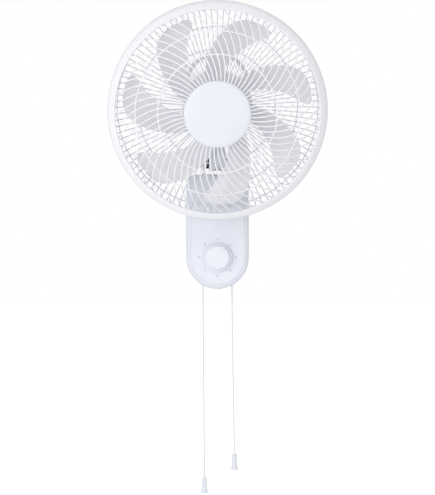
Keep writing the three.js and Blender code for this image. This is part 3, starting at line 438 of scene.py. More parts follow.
def make_repeat_lines():
    """Even lines across a direction, for braid, windings and stacked sheet."""
    group, given, result = new_group(
        "repeat_lines",
        [("Along", VECTOR, (0, 0, 1)), ("Lines Per Metre", FLOAT, 500)],
        [("Height", FLOAT)])
    place = node(group, "ShaderNodeTexCoord").outputs["Object"]
    measured = group.nodes.new("ShaderNodeVectorMath")
    measured.operation = "DOT_PRODUCT"
    join(group, place, measured.inputs[0])
    join(group, given.outputs["Along"], measured.inputs[1])
    turns = maths(group, "MULTIPLY", measured.outputs["Value"], given.outputs["Lines Per Metre"])
    wave = maths(group, "SINE", maths(group, "MULTIPLY", turns, 2 * math.pi))
    join(group, ranged(group, wave, -1.0, 1.0, 0.0, 1.0), result.inputs["Height"])
    return group


GRAIN = make_moulded_grain()
MARKS = make_handling_marks()
DUST = make_settled_dust()
LINES = make_repeat_lines()


def placed(tree, group, **values):
    made = tree.nodes.new("ShaderNodeGroup")
    made.node_tree = group
    for name, value in values.items():
        join(tree, value, made.inputs[name.replace("_", " ")])
    return made


def new_material(name):
    made = bpy.data.materials.new(name)
    made.use_nodes = True
    tree = made.node_tree
    tree.nodes.clear()
    surface = tree.nodes.new("ShaderNodeBsdfPrincipled")
    output = tree.nodes.new("ShaderNodeOutputMaterial")
    tree.links.new(surface.outputs[0], output.inputs["Surface"])
    return made, tree, surface


def bump(tree, height, distance, strength, surface):
    made = node(tree, "ShaderNodeBump", Height=height, Distance=distance, Strength=strength)
    join(tree, made.outputs["Normal"], surface.inputs["Normal"])


def plastic(name, shown, roughness, *, shade=0.955, grain=1100.0, depth=0.00003,
            strength=0.35, marks=0.08, dust=0.12, stretch=(1, 1, 6)):
    """Moulded plastic: tone drift, fine grain, rub marks in the gloss and a little dust."""
    made, tree, surface = new_material(name)
    bright = colour(*shown)
    deep = tuple(c * shade for c in bright[:3]) + (1,)
    grained = placed(tree, GRAIN, Grain_Scale=grain, Drift_Scale=11.0)
    rubbed = placed(tree, MARKS, Scale=55.0, Stretch=stretch)
    dusty = placed(tree, DUST, Amount=dust)
    toned = mixed(tree, grained.outputs["Drift"], bright, deep)
    join(tree, mixed(tree, dusty.outputs["Mask"], toned, colour(206, 204, 198)),
         surface.inputs["Base Color"])
    gloss = ranged(tree, rubbed.outputs["Mask"], 0.0, 1.0, roughness, roughness + marks)
    join(tree, gloss, surface.inputs["Roughness"])
    surface.inputs["IOR"].default_value = 1.5
    bump(tree, grained.outputs["Height"], depth, strength, surface)
    return made


def metal(name, shown, roughness, *, stretch=(1, 8, 1), tarnish=(120, 116, 108), rust=0.12):
    """Bare metal with drawn marks, and a dull bloom here and there."""
    made, tree, surface = new_material(name)
    drawn = placed(tree, MARKS, Scale=420.0, Stretch=stretch)
    grained = placed(tree, GRAIN, Grain_Scale=1500.0, Drift_Scale=60.0)
    bloom = maths(tree, "MULTIPLY", grained.outputs["Drift"], rust)
    join(tree, mixed(tree, bloom, colour(*shown), colour(*tarnish)), surface.inputs["Base Color"])
    gloss = ranged(tree, drawn.outputs["Mask"], 0.0, 1.0, roughness, roughness + 0.18)
    join(tree, gloss, surface.inputs["Roughness"])
    surface.inputs["Metallic"].default_value = 1
    bump(tree, drawn.outputs["Mask"], 0.00002, 0.4, surface)
    return made


def lined(name, shown, groove, roughness, along, lines, *, metallic=0.0, depth=0.0002):
    """A surface of even lines: braid, wound wire or a stack of thin sheets."""
    made, tree, surface = new_material(name)
    ridges = placed(tree, LINES, Along=along, Lines_Per_Metre=lines)
    grained = placed(tree, GRAIN, Grain_Scale=2200.0, Drift_Scale=80.0)
    toned = mixed(tree, ridges.outputs["Height"], colour(*groove), colour(*shown))
    worn = maths(tree, "MULTIPLY", grained.outputs["Drift"], 0.2)
    join(tree, mixed(tree, worn, toned, colour(*groove)), surface.inputs["Base Color"])
    join(tree, ranged(tree, ridges.outputs["Height"], 0.0, 1.0, roughness + 0.15, roughness),
         surface.inputs["Roughness"])
    surface.inputs["Metallic"].default_value = metallic
    bump(tree, ridges.outputs["Height"], depth, 0.6, surface)
    return made


WHITE = plastic("white_moulded_plastic", (236, 239, 248), 0.38)
DIAL_WHITE = plastic("dial_plastic", (238, 241, 250), 0.3, grain=1600.0, strength=0.2)
# Painted light: the front guard's ribs and rim take this lighter copy of the guard plastic. It is
# whiter than the hub disc and the rear guard, which are the same plastic, so that it stands for the
# light the ribs catch.
LIT_GUARD_WHITE = plastic("guard_plastic", (250, 250, 255), 0.34, shade=0.98, strength=0.2)
REAR_WHITE = plastic("rear_guard_plastic", (240, 241, 245), 0.36, shade=0.96, strength=0.2)
BLADE_GREY = plastic("blade_plastic", (243, 243, 247), 0.26, shade=0.965, strength=0.12,
                     stretch=(6, 1, 1))
GREY = plastic("grey_plastic", (146, 149, 154), 0.5, shade=0.9)
BLACK = plastic("black_plastic", (30, 30, 32), 0.5, shade=0.8, dust=0.3)
RUBBER = plastic("black_rubber", (58, 58, 60), 0.75, shade=0.8, grain=600.0, strength=0.6)
INK = plastic("printed_grey", (168, 172, 184), 0.5, shade=0.93, depth=0.00001)
ZINC = metal("zinc_plated_steel", (190, 193, 198), 0.34)
STEEL = metal("plain_steel", (168, 171, 176), 0.28)
ALUMINIUM = metal("cast_aluminium", (186, 188, 191), 0.46, stretch=(1, 1, 1), rust=0.2)
BRONZE = metal("sintered_bronze", (172, 132, 72), 0.42, stretch=(1, 1, 1))
COPPER = lined("copper_winding", (196, 120, 66), (120, 66, 34), 0.35, (0.7, 0.25, 0.7), 900.0,
               metallic=1.0)
LAMINATE = lined("steel_laminations", (150, 152, 156), (92, 94, 98), 0.42, (0, 1, 0), 1000.0,
                 metallic=1.0, depth=0.0001)
CORD = lined("braided_cord", (244, 245, 249), (218, 220, 226), 0.72, (0.35, 0.35, 1), 620.0)

# ---------------------------------------------------------------- pull cords


def box_bottom(x, inset=0):
    return DIAL_Z - math.sqrt((BOX_HALF_WIDTH - inset) ** 2 - x * x)


def pull_cord(name, side, end):
    """A limp cord from its switch straight down, drawn on the solids' own route."""
    start = side * CORD_X
    route = [
        (start, CORD_Y, SWITCH_Z),
        (start, CORD_Y, box_bottom(CORD_X) - 12),
        (start * 0.85 + end[0] * 0.15, CORD_Y, -170),
        (start * 0.5 + end[0] * 0.5, CORD_Y, -270),
        end,
    ]
    curve = bpy.data.curves.new(name, "CURVE")
    curve.dimensions = "3D"
    curve.bevel_depth = CORD_RADIUS * MM
    curve.bevel_resolution = 3
    curve.use_fill_caps = True
    line = curve.splines.new("POLY")
    points = smooth_route(route, 7)
    line.points.add(len(points) - 1)
    for spot, point in zip(line.points, points):
        spot.co = (*(v * MM for v in point), 1)
    made = bpy.data.objects.new(name, curve)
    bpy.context.collection.objects.link(made)
    return made


def smooth_route(points, steps):
    """Points on a smooth curve that passes through every given point."""
    spots = [Vector(p) for p in points]
    ends = [spots[0] * 2 - spots[1], *spots, spots[-1] * 2 - spots[-2]]
    result = []
    for a, b, c, d in zip(ends, ends[1:], ends[2:], ends[3:]):
        for i in range(steps):
            t = i / steps
            result.append(0.5 * (2 * b + (c - a) * t + (2 * a - 5 * b + 4 * c - d) * t * t
                                 + (3 * b - 3 * c + d - a) * t ** 3))
    return [*result, spots[-1]]


def cord_bell(name, end):
    """The grip at the cord's end: a slim barrel with a fine groove, flaring to its mouth."""
    outside = softened([
        (0, -0.3), (2.3, -0.3), (3.5, -1.0), (4.3, -2.6), (4.35, -7.0), (4.05, -7.5),
        (4.05, -8.0), (4.35, -8.5), (4.35, -16.8), (4.9, -20.9), (6.0, -25.4), (6.25, -26.8),
        (6.2, -27.8), (5.2, -27.8), (4.5, -25.4), (0, -25.4),
    ], 0.5, 3)
    return mesh_object(name, moved(about_z(turned(outside, 48)), *end))


def make_cords():
    for name, side, end, length in (
        ("speed", -1, SPEED_CORD_END, SPEED_CORD_LENGTH),
        ("swing", 1, SWING_CORD_END, SWING_CORD_LENGTH),
    ):
        cord = pull_cord(f"{name}_cord", side, end)
        fit(cord, CORD, f"{name}_cord", "cord_fibre", f"{name}_pull_cord")
        bell = cord_bell(f"{name}_bell", end)
        fit(bell, WHITE, f"{name}_cord", "white_plastic", f"{name}_cord_bell")


make_cords()

# ---------------------------------------------------------------- control box


def box_outline(inset):
    """The box's outline in X and Z: a half circle about the dial, two round corners above."""
    half = BOX_HALF_WIDTH - inset
    corner = max(BOX_TOP_CORNER - inset, 2)
    points = []
    for centre, radius, start, sweep, steps in (
        ((0, DIAL_Z), half, 180, 180, 60),
        ((half - corner, BOX_TOP - inset - corner), corner, 0, 90, 12),
        ((corner - half, BOX_TOP - inset - corner), corner, 90, 90, 12),
    ):
        for i in range(steps + 1):
            turn = math.radians(start + sweep * i / steps)
            points.append((centre[0] + radius * math.cos(turn),
                           centre[1] + radius * math.sin(turn)))
    return points


def box_loop(inset, y):
    return [(x, y, z) for x, z in box_outline(inset)]


def dial_hole_loop(radius, y):
    """A round loop about the dial's centre, point for point beside the outline."""
    loop = []
    for x, z in box_outline(BOX_EDGE):
        away = Vector((x, z - DIAL_Z)).normalized() * radius
        loop.append((away.x, y, away.y + DIAL_Z))
    return loop


def front_shell():
    """The drafted front shell, with its rolled front edge and a fine step round the face."""
    seam = BOX_SPLIT - 0.3
    outer = [box_loop(0.5, seam), box_loop(0.1, seam - 0.15), box_loop(0.02, seam - 0.6)]
    for i in range(13):
        turn = math.radians(82 * i / 12)
        inset = BOX_DRAFT + (BOX_EDGE - BOX_DRAFT) * (1 - math.cos(turn))
        outer.append(box_loop(inset, BOX_FRONT + 0.5 + 9 * (1 - math.sin(turn))))
    face = BOX_FRONT + 0.35
    step = [box_loop(BOX_EDGE - 0.5, BOX_FRONT + 0.45), box_loop(BOX_EDGE + 0.1, BOX_FRONT + 1.4),
            box_loop(BOX_EDGE + 0.7, BOX_FRONT + 1.3), box_loop(BOX_EDGE + 1.1, face),
            box_loop(BOX_EDGE + 1.8, face)]
    hole = [dial_hole_loop(6.2, face), dial_hole_loop(5.8, face + 0.4),
            dial_hole_loop(5.8, BOX_FRONT + BOX_WALL)]
    inner = [box_loop(BOX_EDGE + 1, BOX_FRONT + BOX_WALL),
             box_loop(5.4, BOX_FRONT + 5), box_loop(BOX_WALL + 0.6, BOX_FRONT + 12),
             box_loop(BOX_WALL, seam)]
    skin = lofted(outer + step + hole + inner, wrap=True)
    made = mesh_object("front_shell", skin, sharp_angle=50)
    carve(made, block((-27.5, -65.5, BOX_TOP - 12), (27.5, -34.5, BOX_TOP + 2)))
    for side in (-1, 1):
        carve(made, moved(about_z(turned([(0, -106), (4.4, -106), (4.4, -80), (0, -80)], 40)),
                          side * CORD_X, CORD_Y))
    return fit(made, WHITE, "root", "white_plastic", "body_front_shell")


def pocket_loop(outset, y):
    """The plate pocket's outline, with round corners, made larger by an outset."""
    half_width, half_height = POCKET_HALF_WIDTH + outset, POCKET_HALF_HEIGHT + outset
    corners = [(-half_width, -half_height), (half_width, -half_height),
               (half_width, half_height), (-half_width, half_height)]
    return [(x, y, z) for x, z in softened_loop(corners, 6, 6)]


def post_hole(x, z, radius, near, far):
    return moved(turned([(0, near), (radius, near), (radius, far), (0, far)], 32), x=x, z=z)


def back_shell():
    """The back shell: a shallow tray with rolled edges, open where the plate's pocket sits."""
    seam, back = BOX_SPLIT, BOX_BACK - BOX_WALL
    outer = [box_loop(0.5, seam), box_loop(0.1, seam + 0.15), box_loop(0.02, seam + 0.6),
             box_loop(0, BOX_BACK - 2), box_loop(0.6, BOX_BACK - 0.5), box_loop(1.6, BOX_BACK)]
    hole = [dial_hole_loop(1, BOX_BACK), dial_hole_loop(1, back)]
    inner = [box_loop(BOX_WALL + 2, back), box_loop(BOX_WALL, back - 1.5), box_loop(BOX_WALL, seam)]
    made = mesh_object("back_shell", lofted(outer + hole + inner, wrap=True), sharp_angle=50)
    carve(made, lofted([pocket_loop(POCKET_LIP - 0.05, y) for y in (-12, 4)]))
    gland = turned([(0, -110), (6.3, -110), (6.3, -99), (5.2, -99), (5.2, -90), (0, -90)], 40)
    carve(made, moved(about_z(gland), 0, GLAND_Y))
    for x, z in POSTS[:2]:
        carve(made, post_hole(x, z, 2.9, -10, 4))
    return fit(made, WHITE, "root", "white_plastic", "body_back_shell")


def plate_pocket():
    """The pocket sunk into the back, with a window for each hook and two screw holes."""
    mouth = BOX_BACK - 0.05
    pan = [pocket_loop(0, POCKET_FLOOR), pocket_loop(0, mouth - 0.5), pocket_loop(0.5, mouth),
           pocket_loop(POCKET_LIP, mouth), pocket_loop(POCKET_LIP, POCKET_FLOOR - BOX_WALL)]
    made = mesh_object("plate_pocket", lofted(pan))
    for x in (-27, 27):
        carve(made, block((x - 8, -20, 26), (x + 8, 0, 36)))
    for x, z in POSTS[2:]:
        carve(made, post_hole(x, z, 2.9, -14, 4))
    return fit(made, WHITE, "root", "white_plastic", "body_back_shell")


def screw_posts():
    """The posts that the shell screws go down, stepped where each head sits."""
    parts = []
    for i, (x, z) in enumerate(POSTS):
        top = -3 if i < 2 else -10
        post = [(2.9, top), (4.4, top), (4.4, -23.7), (1.5, -23.7), (1.5, -18), (2.9, -18)]
        parts.append(moved(turned(post, 32), x=x, z=z))
    made = mesh_object("screw_posts", joined(*parts))
    return fit(made, WHITE, "root", "white_plastic", "body_back_shell")


def shell_screws():
    """The pan-headed screws that hold the shells together, each with a cross recess."""
    for i, (x, z) in enumerate(POSTS):
        profile = softened([(0, -33), (0.6, -33), (1.4, -31.5), (1.4, -17.7), (2.6, -17.7),
                            (2.6, -16.6), (1.8, -15.75), (0, -15.7)], 0.4, 3)
        made = mesh_object(f"shell_screw_{i + 1}", moved(turned(profile, 32), x=x, z=z))
        for across, up in ((1.4, 0.3), (0.3, 1.4)):
            carve(made, block((x - across, -17, z - up), (x + across, -15, z + up)))
        fit(made, ZINC, "root", "zinc_steel", f"shell_screw_{i + 1}")


def cord_gland():
    """The rubber gland that the mains cord would come in by, set flush in the bottom."""
    profile = softened_loop([(2.6, -100.2), (6.1, -100.2), (6.1, -99.1), (5, -99.1), (5, -94),
                             (2.6, -94)], 0.4, 4)
    made = mesh_object("cord_gland", moved(about_z(turned(profile, 48)), 0, GLAND_Y))
    return fit(made, RUBBER, "root", "black_rubber", "mains_cord_gland")


def dial():
    """The timer's dial: a skirt with a raised rim, and a plain round grip."""
    back, front = BOX_FRONT - 1, BOX_FRONT - 17
    rim, face = DIAL_RADIUS, DIAL_RADIUS - 4
    outside = softened([
        (0, front + 0.15), (face - 3.5, front + 0.15), (face - 3, front + 0.4),
        (face - 2.5, front), (face - 1, front + 0.3), (face, front + 1.6),
        (face + 0.8, back - 8.6), (face + 1.5, back - 8), (rim - 1.2, back - 9),
        (rim - 0.2, back - 8.2), (rim, back - 6.5),
        (rim, back), (rim - 2.5, back), (rim - 2.5, back - 6), (6.8, back - 6),
        (6.8, front + 12), (3.4, front + 12), (3.4, front + 3.5), (0, front + 3.5),
    ], 1.0, 5)
    made = mesh_object("dial", moved(turned(outside, 160), z=DIAL_Z))
    return fit(made, DIAL_WHITE, "timer", "dial_plastic", "timer_dial")


def dial_numbers():
    """Plain minute numbers round the dial, printed on the box's face."""
    parts = []
    for i, minutes in enumerate(MINUTES):
        turn = math.radians(90 - 360 / len(MINUTES) * i)
        text = bpy.data.curves.new("number", "FONT")
        text.body = str(minutes)
        text.size = NUMBER_SIZE
        text.align_x = "CENTER"
        text.align_y = "CENTER"
        text.extrude = 0.03
        holder = bpy.data.objects.new("number", text)
        bpy.context.collection.objects.link(holder)
        bpy.context.view_layer.update()
        flat = bpy.data.meshes.new_from_object(
            holder.evaluated_get(bpy.context.evaluated_depsgraph_get()))
        x, z = NUMBER_RADIUS * math.cos(turn), DIAL_Z + NUMBER_RADIUS * math.sin(turn)
        points = [(v.co.x * NUMBER_NARROWING + x, BOX_FRONT + 0.33 - v.co.z, v.co.y + z)
                  for v in flat.vertices]
        parts.append((points, [tuple(p.vertices) for p in flat.polygons]))
        bpy.data.objects.remove(holder)
    made = mesh_object("dial_numbers", joined(*parts))
    return fit(made, INK, "root", "grey_plastic")


def cord_eyelets():
    """The two bushes in the box's bottom that the cords run out through."""
    for name, side in (("speed", -1), ("swing", 1)):
        top = box_bottom(CORD_X, BOX_WALL) + 5
        bottom = box_bottom(CORD_X) + 1.2
        profile = softened_loop([(2.4, bottom), (4, bottom), (4, top), (2.4, top)], 0.8, 5)
        made = mesh_object(f"{name}_eyelet",
                           moved(about_z(turned(profile, 40)), side * CORD_X, CORD_Y))
        fit(made, WHITE, "root", "white_plastic", f"{name}_cord_eyelet")


front_shell()
back_shell()
plate_pocket()
screw_posts()
shell_screws()
cord_gland()
dial()
dial_numbers()
cord_eyelets()

# ---------------------------------------------------------------- front guard


def front_drop(r):
    """How far the domed front guard falls back at a radius."""
    share = max(0, (r - DOME_FROM_RADIUS) / (RIM_INNER_RADIUS - DOME_FROM_RADIUS))
    return DOME_DEPTH * share ** 2.6


FRONT_RIB_FROM = CAP_RADIUS - 4.5
FRONT_RIB_TO = RIM_INNER_RADIUS + 2.4
FRONT_RIB_Y = CAP_FACE + 5.7


def front_rib_point(r, start):
    share = max(0, (r - FRONT_RIB_FROM) / (FRONT_RIB_TO - FRONT_RIB_FROM))
    turn = start + math.radians(SPIRAL_TURN * share ** 1.5)
    return r * math.cos(turn), FRONT_RIB_Y + front_drop(r), r * math.sin(turn)


def ring(radius, y, width, depth, segments=160):
    profile = [(radius + a, y + b) for a, b in oval(width, depth)]
    return turned(profile, segments)


def front_guard():
    """Sixty spiral ribs between the hub ring and the rim, tied by two fine rings."""
    section = oval(2.3, 3.5)
    parts = []
    for k in range(FRONT_RIB_COUNT):
        start = 2 * math.pi * k / FRONT_RIB_COUNT
        path = [front_rib_point(FRONT_RIB_FROM + (FRONT_RIB_TO - FRONT_RIB_FROM) * i / 30, start)
                for i in range(31)]
        parts.append(swept(path, (0, -1, 0), section))
    parts.append(ring(FRONT_RIB_FROM, FRONT_RIB_Y, 9, 3.6))
    for radius in FRONT_RING_RADII:
        parts.append(ring(radius, FRONT_RIB_Y + front_drop(radius), 2.2, 3))
    lip, outer = RIM_INNER_RADIUS, GUARD_RADIUS - 5.3
    rim = softened_loop([
        (lip - 2.4, -119), (lip - 0.6, -122), (outer + 1, -113.5), (outer + 3.6, -109.6),
        (outer, -109.2), (outer, -91), (outer - 2.6, -91), (lip + 1.2, -104),
    ], 1.4, 5)
    parts.append(turned(rim, 200))
    made = mesh_object("front_guard_ribs", joined(*parts), HEAD)
    # The ribs and rim take the lighter copy of the guard plastic, as a painted highlight.
    return fit(made, LIT_GUARD_WHITE, "head", "guard_plastic", "front_guard")


def hub_disc():
    """The plain round disc in the middle of the front guard, faintly crowned."""
    outside = softened([
        (0, CAP_FACE), (30, CAP_FACE + 0.12), (CAP_RADIUS - 6, CAP_FACE + 0.5),
        (CAP_RADIUS - 1.6, CAP_FACE + 1.3), (CAP_RADIUS, CAP_FACE + 2.7), (43.5, CAP_FACE + 2.7),
        (43.5, CAP_FACE + 8), (41, CAP_FACE + 8), (41, CAP_FACE + 2.7), (0, CAP_FACE + 2.7),
    ], 1.2, 5)
    made = mesh_object("hub_disc", turned(outside, 160), HEAD, sharp_angle=50)
    return fit(made, WHITE, "head", "guard_plastic", "hub_cap")


# ---------------------------------------------------------------- rear guard


def rear_rib_profile():
    """The ribs' line in (radius, y): a flat pan, a round corner and a short wall."""
    corner, depth, wall, pan = 26, 38, GUARD_RADIUS - 2.7, -41
    centre = wall - 1 - corner
    points = [(57 + (centre - 57) * i / 8, pan) for i in range(8)]
    for i in range(11):
        turn = math.radians(90 * i / 10)
        points.append((centre + corner * math.sin(turn), pan - depth + depth * math.cos(turn)))
    return [*points, (wall, -86)]


def rear_guard():
    """A hundred straight wires bent over to the rim, on three rings, with a solid middle."""
    line = rear_rib_profile()
    section = oval(1.8, 3.2)
    parts = []
    for k in range(REAR_RIB_COUNT):
        turn = 2 * math.pi * k / REAR_RIB_COUNT
        path = [(r * math.cos(turn), y, r * math.sin(turn)) for r, y in line]
        middle = (100 * math.cos(turn), -110, 100 * math.sin(turn))
        parts.append(swept(path, lambda i, p=path, m=middle: Vector(m) - Vector(p[i]), section))
    for radius, y in ((96, -41), (133, -41), (166.6, -49.9)):
        parts.append(ring(radius, y, 1.9, 3))
    plate = softened_loop([
        (20.3, -43.3), (59, -43.3), (59, -38.3), (55.5, -38.3), (55.5, -39.3), (20.3, -39.3),
    ], 0.8, 4)
    parts.append(turned(plate, 120))
    inner, outer = RIM_INNER_RADIUS + 6.6, GUARD_RADIUS
    rim = softened_loop([
        (inner, -108.8), (outer - 1.4, -108.6), (outer, -105), (outer, -84), (inner, -84),
    ], 1.2, 5)
    parts.append(turned(rim, 200))
    made = mesh_object("rear_guard_wires", joined(*parts), HEAD)
    return fit(made, REAR_WHITE, "head", "guard_plastic", "rear_guard")


# ---------------------------------------------------------------- propeller


def blade_width_share(r):
    """How much of its full width a blade keeps: its outer corners are rounded off."""
    share = max(0, (r - BLADE_ROUND_FROM) / (BLADE_TIP_RADIUS - BLADE_ROUND_FROM))
    return max(1 - share ** 3.4, 0) ** (1 / 3.4)


def blade(turn):
    """A thin cambered blade that leans back towards its tip."""
    inner, outer = BLADE_ROUND_FROM - BLADE_ROOT_RADIUS, BLADE_TIP_RADIUS - BLADE_ROUND_FROM - 0.01
    radii = [BLADE_ROOT_RADIUS + inner * i / 16 for i in range(17)]
    radii += [BLADE_ROUND_FROM + outer * math.sin(math.radians(9 * i)) for i in range(1, 11)]
    loops = []
    for r in radii:
        keep = max(blade_width_share(r), 0.25)
        centre = BLADE_START_TURN - BLADE_SWEEP * (r - 40)
        loop = []
        for side in (1, -1):
            for i in range(13) if side > 0 else range(12, -1, -1):
                share = 0.5 - 0.5 * math.cos(math.pi * i / 12)
                offset = share - 0.5
                thin = BLADE_THICKNESS * max(1 - (2 * offset) ** 4, 0.02) ** 0.5
                rise = BLADE_CAMBER * (1 - (2 * offset) ** 2)
                angle = math.radians(turn + centre + offset * BLADE_WIDTH_TURN * keep)
                y = BLADE_Y - offset * BLADE_DEPTH * keep + rise + side * thin / 2
                loop.append((r * math.cos(angle), y, r * math.sin(angle)))
        loops.append(loop)
    return lofted(loops)


def propeller():
    hub = softened_loop([
        (4.3, -115), (30, -115), (35, -113.5), (38, -109), (38, -70), (35.8, -70),
        (35.8, -107), (10, -111), (10, -76), (4.3, -76),
    ], 1.6, 5)
    parts = [turned(hub, 120)]
    parts += [blade(360 * i / BLADE_COUNT) for i in range(BLADE_COUNT)]
    made = mesh_object("propeller_blades", joined(*parts), HEAD, sharp_angle=50)
    return fit(made, BLADE_GREY, "propeller", "blade_plastic", "fan_blade")


def spinner():
    """The round nose nut that holds the propeller on."""
    back = -115.3
    outside = softened([
        (4.3, back), (20, back), (19.6, back - 6), (16, back - 12), (10, back - 15), (0, back - 16),
    ], 1.5, 5)
    nut = turned([*outside, (0, back - 12.5), (4.3, back - 12.5)], 96)
    made = mesh_object("nose_nut", nut, HEAD)
    return fit(made, BLADE_GREY, "propeller", "blade_plastic", "blade_spinner")


front_guard()
hub_disc()
rear_guard()
propeller()
spinner()

# ---------------------------------------------------------------- motor housing and neck


def bezier(a, b, c, d, steps=10):
    """Points on a curve from a to d, without a itself."""
    result = []
    for i in range(1, steps + 1):
        t = i / steps
        shares = ((1 - t) ** 3, 3 * t * (1 - t) ** 2, 3 * t * t * (1 - t), t ** 3)
        result.append(tuple(sum(s * p[k] for s, p in zip(shares, (a, b, c, d))) for k in (0, 1)))
    return result


def extruded(outline, x0, x1):
    """An outline of (y, z) points carried across from one side to the other."""
    return lofted([[(x, y, z) for y, z in outline] for x in (x0, x1)])


def arc(y, z, radius, start, end, steps=16):
    turns = [math.radians(start + (end - start) * i / steps) for i in range(steps + 1)]
    return [(y + radius * math.cos(t), z + radius * math.sin(t)) for t in turns]


def neck():
    """The curved neck: a tongue on the tilt bolt, an arm, and the boss of the swing pin."""
    front, back, top = -82, -54, 58
    outline = arc(0, 0, 12.5, -100, 75)
    outline += bezier(outline[-1], (-18, 20), (back + 2, 24), (back, top - 8))
    outline += [(back, top), (front, top), (front, top - 24)]
    outline += bezier(outline[-1], (front, 8), (-42, -3), (-2.2, -12.3))[:-1]
    arm = mesh_object("neck_arm", extruded(outline, -14.4, 14.4), TILT)
    bevel(arm, 2.6, 4, angle=50)
    fit(arm, WHITE, "neck", "white_plastic", "neck")
    ring_profile = softened_loop([(9, 56), (19, 57.5), (19, 62), (9, 62)], 1, 5)
    stud = softened([(0, 61), (2, 61), (2, 68.5), (0, 68.5)], 0.5, 4)
    collar = joined(moved(about_z(turned(ring_profile, 96)), 0, -HEAD_REACH),
                    moved(about_z(turned(stud, 32)), 16, -HEAD_REACH))
    fit(mesh_object("neck_collar", collar, TILT), WHITE, "neck", "white_plastic", "neck")


def tilt_fork():
    """The two cheeks that hold the neck, with the web and the foot inside the box."""
    cheek = [*arc(BOLT_Y, BOLT_Z, 13, 0, 180, 24), (-63, 52), (-41, 30), (-37, 30)]
    for name, x0, x1 in (("left", -25.7, -20.7), ("right", 20.7, 25.7)):
        made = mesh_object(f"fork_cheek_{name}", extruded(cheek, x0, x1))
        bevel(made, 1.1, 3, angle=50)
        fit(made, WHITE, "root", "white_plastic", "tilt_fork")
    web = mesh_object("fork_web", block((-21, -40, 30), (21, -37, 94)))
    bevel(web, 0.8, 3)
    fit(web, WHITE, "root", "white_plastic", "tilt_fork")
    foot = mesh_object("fork_foot", block((-16.7, -38, 40), (16.7, -11.3, 62)))
    bevel(foot, 0.8, 3)
    fit(foot, WHITE, "root", "white_plastic", "tilt_fork")


def tilt_joint():
    """The bolt that the neck turns on, with its cross recess, and the hexagon nut."""
    shank = softened([(0, -30), (5, -30), (6.6, -29.4), (7, -28), (7, -26), (4, -26), (4, 31.4),
                      (3.4, 32), (0, 32)], 0.6, 4)
    bolt = mesh_object("tilt_bolt", moved(about_x(turned(shank, 48)), 0, BOLT_Y, BOLT_Z))
    for across, up in ((3.4, 0.6), (0.6, 3.4)):
        carve(bolt, block((-31, BOLT_Y - across, BOLT_Z - up),
                          (-28.6, BOLT_Y + across, BOLT_Z + up)))
    fit(bolt, ZINC, "root", "zinc_steel", "tilt_bolt")
    nut = [(4.3, 26), (7.5, 26), (7.5, 31), (4.3, 31)]
    hexagon = mesh_object("tilt_nut", moved(about_x(turned(nut, 6)), 0, BOLT_Y, BOLT_Z))
    bevel(hexagon, 0.5, 3)
    fit(hexagon, ZINC, "root", "zinc_steel", "tilt_nut")


def motor_front():
    """The front half of the motor's case, with the threaded nose that holds the guard."""
    case = softened_loop([
        (9.3, -54), (20, -54), (20, -39), (51, -39), (55, -35.5), (55, -20), (52.5, -20),
        (52.5, -34), (50, -36.5), (9.3, -36.5),
    ], 1.6, 5)
    made = mesh_object("motor_front", turned(case, 120), HEAD)
    fit(made, ALUMINIUM, "head", "cast_aluminium", "motor_front_shield")


def guard_nut():
    """The ring nut with six grips that clamps the rear guard to the motor."""
    ring_profile = softened_loop([(20.3, -52.6), (27, -52.6), (27, -43.6), (20.3, -43.6)], 0.8, 4)
    made = mesh_object("guard_nut", turned(ring_profile, 96), HEAD)
    fit(made, REAR_WHITE, "head", "guard_plastic", "guard_nut")
    for i in range(6):
        place = HEAD @ Matrix.Rotation(math.radians(60 * i), 4, "Y")
        grip = mesh_object(f"guard_nut_grip_{i + 1}", block((-2.5, -52.6, 26), (2.5, -43.6, 31)),
                           place)
        bevel(grip, 0.8, 3)
        fit(grip, REAR_WHITE, "head", "guard_plastic", "guard_nut")


def rear_cover():
    """The round-backed motor cover, with seven cooling slots and a well for the collar."""
    def cup(inset):
        radius, corner, back = MOTOR_RADIUS - inset, 22 - inset, 64.5 - inset
        return arc(radius - corner, back - corner, corner, 0, 90)
    seam = -19.7
    profile = [(MOTOR_RADIUS - 0.4, seam), (MOTOR_RADIUS, seam + 0.4), *cup(0), (0, 64.5),
               (0, 62), *reversed(cup(2.5)), (MOTOR_RADIUS - 2.5, seam)]
    made = mesh_object("rear_cover", turned(profile, 144), HEAD)
    for i in range(-3, 4):
        half, z = 26 - 3.5 * abs(i), 9 * i
        rounded = softened_loop([(-half, z - 1.6), (half, z - 1.6), (half, z + 1.6),
                                 (-half, z + 1.6)], 1.5, 5)
        carve(made, lofted([[(x, y, v) for x, v in rounded] for y in (56, 70)]), HEAD)
    well = turned([(0, -70), (21, -70), (21, -30), (0, -30)], 64)
    carve(made, about_z(well), HEAD)
    return fit(made, WHITE, "head", "white_plastic", "motor_rear_cover")


def handle():
    """The arched handle that the head is aimed by, a flat band with soft edges."""
    radius, y, rise = 51, 9.5, 33
    section = softened_loop([(-7.5, -3), (7.5, -3), (7.5, 3), (-7.5, 3)], 2.2, 4)
    path = []
    for i in range(61):
        turn = math.radians(-12 + 204 * i / 60)
        path.append((radius * math.cos(turn), y, rise + radius * math.sin(turn)))
    arch = swept(path, lambda i: Vector(path[i]) - Vector((0, y, rise)), section)
    made = mesh_object("handle_arch", arch, HEAD)
    carve(made, turned([(0, -10), (55.3, -10), (55.3, 30), (0, 30)], 120), HEAD)
    return fit(made, WHITE, "head", "white_plastic", "aim_handle")


neck()
tilt_fork()
tilt_joint()
motor_front()
guard_nut()
rear_cover()
handle()

# ---------------------------------------------------------------- finishes of the solids

FINISHES = {
    "zinc_steel": ZINC,
    "plain_steel": STEEL,
    "white_plastic": WHITE,
    "dial_plastic": DIAL_WHITE,
    "guard_plastic": REAR_WHITE,
    "blade_plastic": BLADE_GREY,
    "cord_fibre": CORD,
    "cast_aluminium": ALUMINIUM,
    "copper_wire": COPPER,
    "bronze": BRONZE,
    "black_plastic": BLACK,
    "black_rubber": RUBBER,
    "grey_plastic": GREY,
}


